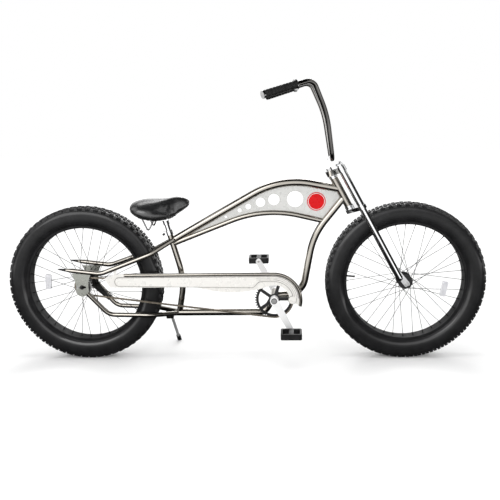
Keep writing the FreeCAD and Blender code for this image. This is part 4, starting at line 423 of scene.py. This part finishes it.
def black_plastic():
    """Moulded black plastic with a spark-eroded grain"""
    surface = Surface("black_plastic")
    surface.set(Specular_IOR_Level=0.35)
    surface.colour(surface.noise(30.0), (0.006, 0.006, 0.006), (0.014, 0.014, 0.015))
    surface.roughness(surface.noise(90.0), 0.4, 0.55)
    surface.bump(surface.noise(900.0, 2.0), 0.25, 0.0004)
    return surface.material


def vinyl():
    """Black saddle vinyl with a leather-like cell grain"""
    surface = Surface("saddle_vinyl")
    surface.set(Specular_IOR_Level=0.7, Coat_Weight=1.0, Coat_Roughness=0.24)
    surface.set(Sheen_Weight=0.6, Sheen_Roughness=0.35)
    surface.colour(surface.noise(9.0, 4.0), (0.004, 0.004, 0.0045), (0.009, 0.0095, 0.010))
    surface.roughness(surface.noise(60.0), 0.27, 0.33)
    cells = surface.add("ShaderNodeTexVoronoi", feature="DISTANCE_TO_EDGE")
    cells.inputs["Scale"].default_value = 750.0
    surface.link(surface.place, cells.inputs["Vector"])
    surface.bump(cells.outputs["Distance"], 0.04, 0.0006)
    return surface.material


def emblem_enamel(name, low, high):
    """Domed enamel with a faint depth of colour"""
    surface = Surface(name)
    surface.set(Specular_IOR_Level=0.15)
    surface.colour(surface.noise(50.0), low, high)
    surface.roughness(surface.noise(90.0), 0.25, 0.35)
    return surface.material


def reflector_plastic():
    """Clear plastic over a lattice of small prisms"""
    surface = Surface("reflector_plastic")
    surface.set(Transmission_Weight=0.25, IOR=1.49, Coat_Weight=1.0, Coat_Roughness=0.03)
    surface.colour(surface.noise(40.0), (0.84, 0.84, 0.88), (0.92, 0.92, 0.95))
    surface.roughness(surface.noise(60.0), 0.1, 0.2)
    cells = surface.add("ShaderNodeTexVoronoi", feature="F1", distance="CHEBYCHEV")
    cells.inputs["Scale"].default_value = 420.0
    cells.inputs["Randomness"].default_value = 0.0
    surface.link(surface.place, cells.inputs["Vector"])
    surface.bump(cells.outputs["Distance"], 0.6, 0.001)
    return surface.material


PEWTER = frame_paint()
CHROME = chrome("chrome_plate", (0.74, 0.745, 0.755), (0.84, 0.845, 0.85))
# Chrome with a dark base colour for the handlebar: painted shade standing in for the dark surroundings it reflects
SHADED_CHROME = chrome("chrome_painted_shade", (0.15, 0.145, 0.14), (0.20, 0.195, 0.185))
BRIGHT_STEEL = steel("bright_steel", (0.50, 0.50, 0.50), (0.64, 0.64, 0.64), 0.22)
SPOKE_STEEL = steel("spoke_steel", (0.008, 0.008, 0.008), (0.016, 0.016, 0.016), 0.3)
CHAIN_STEEL = steel("chain_steel", (0.20, 0.17, 0.13), (0.34, 0.30, 0.25), 0.32)
SPRING_STEEL = steel("spring_steel", (0.24, 0.24, 0.24), (0.34, 0.34, 0.34), 0.12)
STAND_STEEL = steel("stand_steel", (0.42, 0.42, 0.42), (0.52, 0.52, 0.52), 0.4, 0.5)
BLACK_METAL = black_enamel("black_enamel", 0.5, 0.3)
RIM_ENAMEL = black_enamel("rim_enamel", 0.15, 0.5)
DARK_STEEL = steel("dark_steel", (0.03, 0.03, 0.03), (0.06, 0.06, 0.06), 0.3)
ALLOY = polished_alloy()
PLASTIC = black_plastic()
RUBBER = soft_rubber()
VINYL = vinyl()
GUARD_PAINT = pale_paint("guard_paint", (0.91, 0.89, 0.85), (0.93, 0.91, 0.87), 0.1)
PANEL_PAINT = pale_paint("panel_paint", (0.61, 0.61, 0.59), (0.65, 0.65, 0.63), 0.1)
# Guard paint darkened for the ridges and boss: painted shade of the pressed relief
RIDGE_PAINTED_SHADE = pale_paint("ridge_painted_shade", (0.34, 0.33, 0.305), (0.40, 0.39, 0.36), 0.3)
PLATE_PAINT = pale_paint("plate_paint", (0.36, 0.37, 0.335), (0.43, 0.44, 0.40), 0.6)
RED_ENAMEL = emblem_enamel("red_enamel", (0.66, 0.006, 0.009), (0.72, 0.010, 0.013))
WHITE_ENAMEL = emblem_enamel("white_enamel", (0.78, 0.78, 0.77), (0.86, 0.86, 0.85))
REFLECTOR = reflector_plastic()
TYRE = {end: tyre_rubber(end + "_tyre_rubber", centre) for end, centre in AXLES.items()}

FINISHES = {
    "head_tube": PEWTER, "top_tube": PEWTER, "arch_tube": PEWTER, "down_tube": PEWTER, "bottom_tube": PEWTER,
    "seat_tube": PEWTER, "seat_stays": PEWTER, "chain_stays": PEWTER, "bottom_bracket_shell": PEWTER,
    "dropouts": PLATE_PAINT, "frame_panel": PANEL_PAINT, "chain_guard": GUARD_PAINT, "chain_guard_bead": PEWTER,
    "emblem_disc": RED_ENAMEL,
    "seat_collar": CHROME, "seat_post": CHROME, "saddle_clamp": CHROME, "saddle_rails": SPRING_STEEL,
    "saddle_base": PLASTIC, "saddle_cover": VINYL, "steerer_tube": CHROME, "headset_cones": CHROME,
    "upper_crown": CHROME, "lower_crown": CHROME, "fork_legs": CHROME, "handlebar": SHADED_CHROME,
    "handlebar_clamp_cap": CHROME, "grip_trim": SPRING_STEEL, "left_grip": RUBBER, "right_grip": RUBBER,
    "steering_fasteners": BRIGHT_STEEL, "frame_fasteners": DARK_STEEL, "bearing_cups": CHROME,
    "front_axle": BRIGHT_STEEL, "rear_axle": DARK_STEEL, "front_hub": BLACK_METAL, "rear_hub": BLACK_METAL,
    "front_spokes": SPOKE_STEEL, "rear_spokes": SPOKE_STEEL, "front_rim": RIM_ENAMEL, "rear_rim": RIM_ENAMEL,
    "front_tyre": TYRE["front"], "rear_tyre": TYRE["rear"], "front_inner_tube": RUBBER,
    "rear_inner_tube": RUBBER, "front_reflector": REFLECTOR, "rear_reflector": REFLECTOR,
    "right_crank": ALLOY, "left_crank": ALLOY, "crank_spindle": BRIGHT_STEEL, "pedal_spindles": BRIGHT_STEEL,
    "chainring": BLACK_METAL, "rear_sprocket": BRIGHT_STEEL, "chain": CHAIN_STEEL, "left_pedal": PLASTIC,
    "right_pedal": PLASTIC, "coaster_brake_arm": BLACK_METAL, "kickstand_bracket": PEWTER,
    "kickstand_leg": STAND_STEEL, "kickstand_foot": RUBBER}


def dress_nodes():
    for name, material in FINISHES.items():
        mesh = NODES[name].data
        mesh.materials.clear()
        mesh.materials.append(material)


# Stage


def camera():
    yaw, pitch, roll = (math.radians(angle) for angle in (CAMERA_YAW, CAMERA_PITCH, CAMERA_ROLL))
    turn = Matrix.Rotation(yaw, 3, "Z") @ Matrix.Rotation(pitch, 3, "X") @ Matrix.Rotation(roll, 3, "Y")
    right, forward, up = (turn @ Vector(way) for way in ((1, 0, 0), (0, 1, 0), (0, 0, 1)))
    lens = bpy.data.cameras.new("camera")
    lens.sensor_width = SENSOR_WIDTH
    lens.lens = LENS
    eye = bpy.data.objects.new("camera", lens)
    eye.matrix_world = Matrix((right, up, -forward)).transposed().to_4x4()
    eye.location = CAMERA_PLACE
    scene = bpy.context.scene
    scene.collection.objects.link(eye)
    scene.camera = eye
    scene.view_settings.view_transform = "Standard"


def studio_floor():
    """White sweep that keeps the shadows, and in reflections is dark under the bicycle"""
    mesh = bpy.data.meshes.new("floor")
    corners = [(x * FLOOR_REACH, y * FLOOR_REACH, 0) for x, y in ((-1, -1), (1, -1), (1, 1), (-1, 1))]
    mesh.from_pydata(corners, [], [(0, 1, 2, 3)])
    floor = bpy.data.objects.new("floor", mesh)
    bpy.context.scene.collection.objects.link(floor)
    surface = Surface("floor_sweep")
    surface.set(Roughness=0.9, Specular_IOR_Level=0.0)
    surface.colour(surface.noise(0.6), (0.90, 0.90, 0.90), (0.92, 0.92, 0.92))
    distance = surface.add("ShaderNodeVectorMath", operation="LENGTH")
    surface.link(surface.place, distance.inputs[0])
    total = surface.add("ShaderNodeAddShader")
    surface.link(surface.shader.outputs["BSDF"], total.inputs[0])
    surface.link(glow(surface, surface.ranged(distance.outputs["Value"], FLOOR_LIFT)), total.inputs[1])
    split = surface.add("ShaderNodeSeparateXYZ")
    surface.link(surface.place, split.inputs["Vector"])
    sideways = surface.maths("ABSOLUTE", split.outputs["Y"])
    mirrored = glow(surface, surface.ranged(sideways, FLOOR_MIRRORED))
    path = surface.add("ShaderNodeLightPath")
    lit = mixed(surface, path.outputs["Is Camera Ray"], surface.shader.outputs["BSDF"], total.outputs["Shader"])
    seen = mixed(surface, path.outputs["Is Glossy Ray"], lit, mirrored)
    surface.link(seen, surface.tree.nodes["Material Output"].inputs["Surface"])
    mesh.materials.append(surface.material)


def studio_world():
    """White tent with bright sides and dark ends, seen so by metal alone"""
    world = bpy.data.worlds.new("studio")
    bpy.context.scene.world = world
    world.use_nodes = True
    tree = world.node_tree
    tree.nodes.clear()
    place = tree.nodes.new("ShaderNodeTexCoord")
    facing = tree.nodes.new("ShaderNodeVectorMath")
    facing.operation = "DOT_PRODUCT"
    facing.inputs[1].default_value = STUDIO_WAY
    tree.links.new(place.outputs["Generated"], facing.inputs[0])
    side = tree.nodes.new("ShaderNodeMapRange")
    side.inputs["From Min"].default_value = -1.0
    tree.links.new(facing.outputs["Value"], side.inputs["Value"])
    ramp = tree.nodes.new("ShaderNodeValToRGB")
    stops = ramp.color_ramp.elements
    while len(stops) < len(STUDIO_STOPS):
        stops.new(0.5)
    for stop, (share, bright) in zip(stops, STUDIO_STOPS):
        stop.position = share
        stop.color = (bright, bright, bright, 1)
    tree.links.new(side.outputs["Result"], ramp.inputs["Fac"])
    path = tree.nodes.new("ShaderNodeLightPath")
    reflected = tree.nodes.new("ShaderNodeBackground")
    tree.links.new(ramp.outputs["Color"], reflected.inputs["Color"])
    ambient = tree.nodes.new("ShaderNodeBackground")
    ambient.inputs["Color"].default_value = (1, 1, 1, 1)
    ambient.inputs["Strength"].default_value = AMBIENT
    seen = tree.nodes.new("ShaderNodeBackground")
    seen.inputs["Color"].default_value = (1, 1, 1, 1)
    glossy = tree.nodes.new("ShaderNodeMixShader")
    tree.links.new(path.outputs["Is Glossy Ray"], glossy.inputs["Fac"])
    tree.links.new(ambient.outputs["Background"], glossy.inputs[1])
    tree.links.new(reflected.outputs["Background"], glossy.inputs[2])
    shown = tree.nodes.new("ShaderNodeMixShader")
    tree.links.new(path.outputs["Is Camera Ray"], shown.inputs["Fac"])
    tree.links.new(glossy.outputs["Shader"], shown.inputs[1])
    tree.links.new(seen.outputs["Background"], shown.inputs[2])
    output = tree.nodes.new("ShaderNodeOutputWorld")
    tree.links.new(shown.outputs["Shader"], output.inputs["Surface"])


def studio_light(name, place, target, size, power):
    light = bpy.data.lights.new(name, "AREA")
    light.shape = "RECTANGLE"
    light.size, light.size_y = size
    light.energy = power
    lamp = bpy.data.objects.new(name, light)
    lamp.location = place
    lamp.rotation_euler = (Vector(target) - Vector(place)).to_track_quat("-Z", "Y").to_euler()
    bpy.context.scene.collection.objects.link(lamp)
    return lamp


def studio_lights():
    overhead = studio_light("overhead", (0.0, 0.0, 3.6), (0.0, 0.0, 0.0), (3.4, 2.2), 55.0)
    overhead.visible_glossy = False
    studio_light("front_left", (-1.9, -3.2, 2.4), (0.0, 0.0, 0.5), (3.0, 2.2), 50.0)
    right = studio_light("front_right", (2.3, -3.0, 2.0), (0.2, 0.0, 0.5), (2.6, 2.0), 36.0)
    right.visible_glossy = False
    studio_light("back", (0.3, 3.4, 2.6), (0.0, 0.0, 0.5), (2.4, 1.2), 55.0)
    studio_light("kicker", (-1.06, 2.4, 3.3), (-0.4, 0.0, 0.85), (1.6, 1.2), 12.0)
    studio_light("front_end", (3.5, 0.0, 3.3), (0.4, 0.0, 0.5), (3.2, 2.6), 22.0)
    studio_light("rear_end", (-3.5, 0.0, 3.0), (-0.4, 0.0, 0.4), (3.2, 2.6), 26.0)


# Wheels


def ring_of(work, centre, outline, segments):
    """Closed ring turned about a crosswise axle from a closed outline of (side, radius)"""
    loops = []
    for step in range(segments):
        turn = 2 * math.pi * step / segments
        way = Vector((math.cos(turn), 0.0, math.sin(turn)))
        loops.append([work.verts.new(centre + way * radius + Vector((0, side, 0))) for side, radius in outline])
    count = len(outline)
    for step in range(segments):
        here, after = loops[step], loops[(step + 1) % segments]
        for index in range(count):
            following = (index + 1) % count
            work.faces.new((here[index], here[following], after[following], after[index]))


def tyre_outline():
    """Casing outline with a thin inner wall"""
    outer = list(CASING) + [(-side, radius) for side, radius in reversed(CASING)]
    limit = TYRE_RADIUS - TREAD_DEPTH - CASING_WALL
    inner = [(side - math.copysign(CASING_WALL, side), min(radius, limit)) for side, radius in reversed(outer)]
    return outer + inner


def knob(work, centre, turn, side, width, length, top, root):
    """Tapered tread block"""
    way = Vector((math.cos(turn), 0.0, math.sin(turn)))
    along = Vector((-math.sin(turn), 0.0, math.cos(turn)))
    across = Vector((0, 1, 0))
    corners = []
    for radius, share in ((root, 1.0), (top, KNOB_TAPER)):
        for along_sign, across_sign in ((-1, -1), (1, -1), (1, 1), (-1, 1)):
            place = centre + way * radius + across * (side + across_sign * width / 2 * share)
            corners.append(work.verts.new(place + along * (along_sign * length / 2 * share)))
    work.faces.new(corners[4:])
    for index in range(4):
        following = (index + 1) % 4
        work.faces.new((corners[index], corners[following], corners[following + 4], corners[index + 4]))


def tyre(end):
    """Fat tyre with staggered rows of small tread blocks"""
    centre = AXLES[end]

    def build(work):
        ring_of(work, centre, tyre_outline(), CASING_SEGMENTS)

    name = end + "_tyre_casing"
    casing = new_object(name, mesh_from(build, name), end + "_wheel", TYRE[end])

    def tread(work):
        for pitch in range(KNOB_PITCHES):
            for side, width, length, drop, share in KNOB_ROWS:
                top = TYRE_RADIUS - drop
                for sign, stagger in ((1, 0.0), (-1, 0.5)):
                    turn = 2 * math.pi * (pitch + share + stagger) / KNOB_PITCHES - math.pi / 2
                    knob(work, centre, turn, sign * side, width, length, top, top - 2 * TREAD_DEPTH)

    name = end + "_tyre_tread"
    new_object(name, mesh_from(tread, name, False), end + "_wheel", TYRE[end])
    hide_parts(end + "_tyre")


def spoke_ends(end):
    """Hub and rim points of each spoke of a wheel"""
    centre = AXLES[end]
    per_flange = SPOKE_COUNT // 2
    for side in (1, -1):
        for index in range(per_flange):
            lead = 1 if index % 2 == 0 else -1
            hub_angle = index * 360.0 / per_flange + (360.0 / SPOKE_COUNT if side < 0 else 0.0)
            rim_angle = hub_angle + lead * SPOKE_CROSS
            hub = polar(HUB_RADIUS, hub_angle, side * FLANGE_REACH[end] + lead * SPOKE_STAGGER)
            rim = polar(RIM_RADIUS, rim_angle, side * SPOKE_RIM_REACH + lead * SPOKE_STAGGER / 2)
            yield centre + hub, centre + rim


def polar(radius, angle, side=0.0):
    turn = math.radians(angle)
    return Vector((radius * math.cos(turn), side, radius * math.sin(turn)))


def peg(work, start, end, stations, segments=12):
    """Turned peg from start towards end, with (share of the length, radius) stations and closed ends"""
    run = end - start
    turn = run.to_track_quat("Z", "Y").to_matrix()
    loops = []
    for share, radius in stations:
        middle = start + run * share
        loop = []
        for step in range(segments):
            angle = 2 * math.pi * step / segments
            loop.append(work.verts.new(middle + turn @ Vector((math.cos(angle), math.sin(angle), 0)) * radius))
        loops.append(loop)
    for lower, upper in zip(loops, loops[1:]):
        for step in range(segments):
            after = (step + 1) % segments
            work.faces.new((lower[step], lower[after], upper[after], upper[step]))
    work.faces.new(loops[0][::-1])
    work.faces.new(loops[-1])


def spoke_fittings(end):
    """Nipples at the rim and bent heads at the hub flanges"""
    centre = AXLES[end]
    stations = ((0.0, NIPPLE_RADIUS * 1.5), (0.2, NIPPLE_RADIUS * 1.5), (0.25, NIPPLE_RADIUS),
                (0.9, NIPPLE_RADIUS), (1.0, NIPPLE_RADIUS * 0.6))

    def build(work):
        for hub, rim in spoke_ends(end):
            way = (hub - rim).normalized()
            peg(work, rim - way * NIPPLE_SINK, rim + way * NIPPLE_LENGTH, stations, 8)
            inward = Vector((centre.x - hub.x, 0, centre.z - hub.z)).normalized()
            side = math.copysign(1.0, hub.y) * Vector((0, 1, 0))
            outside = abs(hub.y) > FLANGE_REACH[end]
            face = hub + inward * HEAD_RUN + side * (HEAD_REACH if outside else -HEAD_REACH)
            peg(work, hub - inward * HEAD_OVERLAP, face, BEND_STATIONS, 8)
            peg(work, face - side * HEAD_HALF, face + side * HEAD_HALF, HEAD_STATIONS, 8)

    mesh = mesh_from(build, end + "_spoke_fittings")
    new_object(end + "_spoke_fittings", mesh, end + "_wheel", SPOKE_STEEL)


def valve_cap(end):
    """Screw cap on the end of the valve stem"""

    def cap(work):
        angle = VALVE_ANGLES[end]
        tip = AXLES[end] + polar(VALVE_END - VALVE_CAP_LENGTH * 0.7, angle)
        root = AXLES[end] + polar(VALVE_END + VALVE_CAP_LENGTH * 0.3, angle)
        stations = ((0.0, VALVE_CAP_RADIUS * 0.6), (0.12, VALVE_CAP_RADIUS * 0.9), (0.2, VALVE_CAP_RADIUS),
                    (0.9, VALVE_CAP_RADIUS), (1.0, VALVE_CAP_RADIUS * 0.9))
        peg(work, tip, root, stations, 14)

    mesh = mesh_from(cap, end + "_valve_cap")
    new_object(end + "_valve_cap", mesh, end + "_wheel", PLASTIC)


# Chain


def chain_joints():
    """Joint places along the chain, in order, found from its rollers"""
    work = bmesh.new()
    work.from_mesh(NODES["chain"].data)
    bmesh.ops.remove_doubles(work, verts=work.verts, dist=1e-6)
    seen = set()
    joints = []
    for vertex in work.verts:
        if vertex.index in seen:
            continue
        island, stack = [], [vertex]
        seen.add(vertex.index)
        while stack:
            current = stack.pop()
            island.append(current.co)
            for edge in current.link_edges:
                other = edge.other_vert(current)
                if other.index not in seen:
                    seen.add(other.index)
                    stack.append(other)
        low = Vector(min(point[axis] for point in island) for axis in range(3))
        high = Vector(max(point[axis] for point in island) for axis in range(3))
        if max(high.x - low.x, high.z - low.z) < ROLLER_LIMIT * ROLLER_RADIUS:
            joints.append((low + high) / 2)
    work.free()
    ordered = [joints.pop()]
    while joints:
        nearest = min(joints, key=lambda point: (point - ordered[-1]).length)
        joints.remove(nearest)
        ordered.append(nearest)
    return ordered


def link_outline(start, end):
    """Figure-of-eight outline of a chain plate"""
    run = (end - start).normalized()
    rise = Vector((-run.z, 0, run.x))
    outline = []
    for centre, way in ((end, run), (start, -run)):
        lift = rise if way is run else -rise
        for step in range(PLATE_SEGMENTS):
            turn = math.pi * (step / (PLATE_SEGMENTS - 1) - 0.5)
            reach, height = PLATE_RADIUS * math.cos(turn), PLATE_RADIUS * math.sin(turn)
            outline.append(centre + way * reach + lift * height)
        outline.append((start + end) / 2 + lift * PLATE_WAIST)
    return outline


def chain():
    """Roller chain with waisted plates, pins and round rollers"""
    joints = chain_joints()

    def build(work):
        for index, joint in enumerate(joints):
            after = joints[(index + 1) % len(joints)]
            near, far = INNER_PLATE if index % 2 == 0 else OUTER_PLATE
            outline = link_outline(joint, after)
            for side in (1, -1):
                faces = []
                for depth in (near, far):
                    level = CHAIN_LINE + side * depth
                    faces.append([work.verts.new((point.x, level, point.z)) for point in outline])
                work.faces.new(faces[0])
                work.faces.new(faces[1])
                for step in range(len(outline)):
                    following = (step + 1) % len(outline)
                    work.faces.new((faces[0][step], faces[0][following], faces[1][following], faces[1][step]))
            middle = Vector((joint.x, CHAIN_LINE, joint.z))
            across = Vector((0, 1, 0))
            peg(work, middle - across * INNER_PLATE[0], middle + across * INNER_PLATE[0],
                ((0.0, ROLLER_RADIUS), (1.0, ROLLER_RADIUS)), 10)
            peg(work, middle - across * PIN_REACH, middle + across * PIN_REACH,
                ((0.0, PIN_RADIUS * 0.8), (0.05, PIN_RADIUS), (0.95, PIN_RADIUS), (1.0, PIN_RADIUS * 0.8)), 8)

    mesh = mesh_from(build, "roller_chain", False)
    piece = new_object("roller_chain", mesh, "frame", CHAIN_STEEL)
    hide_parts("chain")


# Saddle


def saddle_station(share):
    """Smooth in-between station at a share of the saddle's length"""
    last = len(SADDLE_STATIONS) - 1
    spot = share * last
    index = min(int(spot), last - 1)
    rest = spot - index
    around = [SADDLE_STATIONS[min(max(index + step, 0), last)] for step in (-1, 0, 1, 2)]
    values = []
    for before, here, after, beyond in zip(*around):
        slope, next_slope = (after - before) / 2, (beyond - here) / 2
        values.append(
            here + slope * rest + (3 * (after - here) - 2 * slope - next_slope) * rest ** 2
            + (2 * (here - after) + slope + next_slope) * rest ** 3)
    return values


def saddle_ring(station):
    """Cross-section with a crowned top, drawn-in skirt and a hollow below"""
    forward, half, bottom, top = station
    belly = bottom + SADDLE_BELLY * (top - bottom)
    ring = []
    for step in range(SADDLE_TOP_STEPS + 1):
        turn = math.pi / 2 * step / SADDLE_TOP_STEPS
        side, height = math.sin(turn) ** SADDLE_ROUND, math.cos(turn) ** SADDLE_ROUND
        ring.append((half * side, belly + (top - belly) * height))
    for step in range(1, SADDLE_SKIRT_STEPS + 1):
        drop = math.sin(math.pi / 2 * step / SADDLE_SKIRT_STEPS)
        ring.append((half * (1 - SADDLE_TUCK * drop ** 2), belly - (belly - bottom) * drop))
    ceiling = max(SADDLE_POCKET, bottom + SADDLE_CEILING_GAP)
    heights = (bottom + SADDLE_LIP_RISE, (bottom + ceiling) / 2, ceiling, ceiling)
    ring += [(half * share, height) for share, height in zip(SADDLE_LIP, heights)]
    mirrored = [(-side, height) for side, height in reversed(ring[1:])]
    return [(forward, side, height) for side, height in ring + [(0.0, ceiling)] + mirrored]


def saddle_shell(origin):
    def build(work):
        loops = []
        for index in range(SADDLE_RINGS):
            ring = saddle_ring(saddle_station(index / (SADDLE_RINGS - 1)))
            loops.append([work.verts.new(origin + Vector(point)) for point in ring])
        for here, after in zip(loops, loops[1:]):
            for step in range(len(here)):
                following = (step + 1) % len(here)
                work.faces.new((here[step], here[following], after[following], after[step]))
        work.faces.new(loops[0][::-1])
        work.faces.new(loops[-1])

    return mesh_from(build, "saddle_shell")


def evaluated_mesh(piece):
    graph = bpy.context.evaluated_depsgraph_get()
    return bpy.data.meshes.new_from_object(piece.evaluated_get(graph))


def with_modifier(mesh, kind, **settings):
    """Copy of a mesh with one modifier applied"""
    piece = bpy.data.objects.new("work", mesh)
    bpy.context.scene.collection.objects.link(piece)
    modifier = piece.modifiers.new("work", kind)
    for key, value in settings.items():
        setattr(modifier, key, value)
    result = evaluated_mesh(piece)
    bpy.data.objects.remove(piece)
    return result


def inflated(mesh):
    """Cover swollen by its padding, by at most SADDLE_SWELL"""
    piece = bpy.data.objects.new("swelling", mesh)
    scene = bpy.context.scene
    scene.collection.objects.link(piece)
    cloth = piece.modifiers.new("cloth", "CLOTH")
    cloth.settings.use_pressure = True
    cloth.settings.uniform_pressure_force = SADDLE_PRESSURE
    cloth.settings.effector_weights.gravity = 0.0
    cloth.point_cache.frame_start, cloth.point_cache.frame_end = 1, SADDLE_FRAMES
    for step in range(1, SADDLE_FRAMES + 1):
        scene.frame_set(step)
    swollen = evaluated_mesh(piece)
    scene.frame_set(1)
    for rest, vertex in zip(mesh.vertices, swollen.vertices):
        shift = vertex.co - rest.co
        if shift.length > SADDLE_SWELL:
            vertex.co = rest.co + shift.normalized() * SADDLE_SWELL
    bpy.data.objects.remove(piece)
    return swollen


def saddle():
    """Padded vinyl saddle with a rising nose"""
    base_low, base_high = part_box("saddle_base")
    origin = Vector((base_low.x + SADDLE_BASE_REAR, 0.0, base_low.z - SADDLE_BASE_LIFT))
    mesh = saddle_shell(origin)
    mesh = inflated(with_modifier(mesh, "REMESH", mode="VOXEL", voxel_size=SADDLE_VOXEL))
    mesh = with_modifier(mesh, "SMOOTH", factor=0.5, iterations=3)
    mesh = with_modifier(mesh, "SUBSURF", levels=1)
    shade_smooth(mesh)
    mesh.materials.clear()
    piece = new_object("saddle_padding", mesh, "saddle", VINYL)
    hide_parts("saddle_cover")


# Trim


def emblem():
    """Plain white ring near the edge of the red disc"""
    low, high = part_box("emblem_disc")
    centre = (low + high) / 2

    def build(work):
        inner, outer = EMBLEM_RING
        outline = [(0.0, inner), (0.0, outer), (-EMBLEM_RISE, outer), (-EMBLEM_RISE, inner)]
        ring_of(work, Vector((centre.x, low.y, centre.z)), outline, 64)

    new_object("emblem_ring", mesh_from(build, "emblem_ring", False), "frame", WHITE_ENAMEL)


def washer_outline(inner, outer, way):
    """Outline of a washer that is highest at its inner edge, on a face that looks left (1) or right (-1)"""
    rise, narrowing = WASHER_EDGE
    return [(0.0, inner), (0.0, outer), (way * rise, outer - narrowing), (way * WASHER_RISE, inner)]


def ridge(work, line, level):
    """Rounded ridge along a line of (forward, height) points on an upright face"""
    loops = []
    for index, point in enumerate(line):
        before, after = line[max(index - 1, 0)], line[min(index + 1, len(line) - 1)]
        run = (Vector(after) - Vector(before)).normalized()
        loop = []
        for across, rise in RIDGE_SECTION:
            forward = point[0] - run.y * across * RIDGE_HALF
            height = point[1] + run.x * across * RIDGE_HALF
            loop.append(work.verts.new((forward, level - rise * RIDGE_RISE, height)))
        loops.append(loop)
    for here, after in zip(loops, loops[1:]):
        for step in range(len(RIDGE_SECTION) - 1):
            work.faces.new((here[step], here[step + 1], after[step + 1], after[step]))
    work.faces.new(loops[0])
    work.faces.new(loops[-1][::-1])


def guard_ridges():
    """Pressed ridges of the chain guard: round its hook, its raised panel and its boss, in darker paint that is
    painted shade of the pressings
    """
    centre = (CRANK_AXLE.x, CRANK_AXLE.z)

    def from_crank(back, rise):
        return centre[0] - back, centre[1] + rise

    def build(work):
        for radius, back in HOOK_RIDGES:
            line = []
            for step in range(HOOK_STEPS + 1):
                turn = math.radians(HOOK_END_ANGLE + (90.0 - HOOK_END_ANGLE) * step / HOOK_STEPS)
                line.append(from_crank(-radius * math.cos(turn), radius * math.sin(turn)))
            line.append(from_crank(back, radius))
            ridge(work, line, GUARD_FACE)
        step_back, step_front, step_low = PANEL_STEP
        step_high = HOOK_RIDGES[0][0]
        line = []
        for step in range(PANEL_STEPS + 1):
            share = step / PANEL_STEPS
            ease = share * share * (3 - 2 * share)
            line.append(from_crank(step_back + (step_front - step_back) * share,
                                   step_high + (step_low - step_high) * ease))
        rear_back, rear_far, rear_low = PANEL_REAR
        rear_high = HOOK_RIDGES[-1][0]
        for step in range(PANEL_STEPS + 1):
            turn = math.pi * step / PANEL_STEPS
            line.append(from_crank(rear_back + (rear_far - rear_back) * math.sin(turn),
                                   (rear_low + rear_high) / 2 - (rear_high - rear_low) / 2 * math.cos(turn)))
        ridge(work, line, GUARD_FACE)

    new_object("guard_ridges", mesh_from(build, "guard_ridges"), "frame", RIDGE_PAINTED_SHADE)

    def boss(work):
        forward, inner, outer = GUARD_BOSS
        place = Vector((centre[0] + forward, BOSS_FACE, centre[1]))
        ring_of(work, place, washer_outline(inner, outer, -1), 40)

    new_object("guard_boss_foot", mesh_from(boss, "guard_boss_foot"), "frame", RIDGE_PAINTED_SHADE)


def crank_washers():
    """Dark washers under the crank bolts"""

    def build(work):
        inner, outer = BOLT_WASHER
        for side in (1, -1):
            place = Vector((CRANK_AXLE.x, side * CRANK_FACE, CRANK_AXLE.z))
            ring_of(work, place, washer_outline(inner, outer, side), 32)

    new_object("crank_washers", mesh_from(build, "crank_washers"), "crank", PLASTIC)


def stay_caps():
    """Black caps on the pointed ends of the stays"""

    def build(work):
        length, point, root = STAY_CAP
        for side in (1, -1):
            tip = Vector((STAY_TIP[0], side * STAY_TIP[1], STAY_TIP[2]))
            way = Vector((STAY_WAY[0], side * STAY_WAY[1], STAY_WAY[2])).normalized()
            stations = ((0.0, point * 0.5), (0.02, point * 0.9), (0.04, point), (0.97, root), (1.0, root * 0.95))
            peg(work, tip - way * STAY_CAP_PASS, tip + way * length, stations, 20)

    new_object("stay_caps", mesh_from(build, "stay_caps"), "frame", PLASTIC)


dress_nodes()
camera()
studio_floor()
studio_world()
studio_lights()
for wheel_end in AXLES:
    tyre(wheel_end)
    spoke_fittings(wheel_end)
    valve_cap(wheel_end)
chain()
saddle()
emblem()
guard_ridges()
crank_washers()
stay_caps()
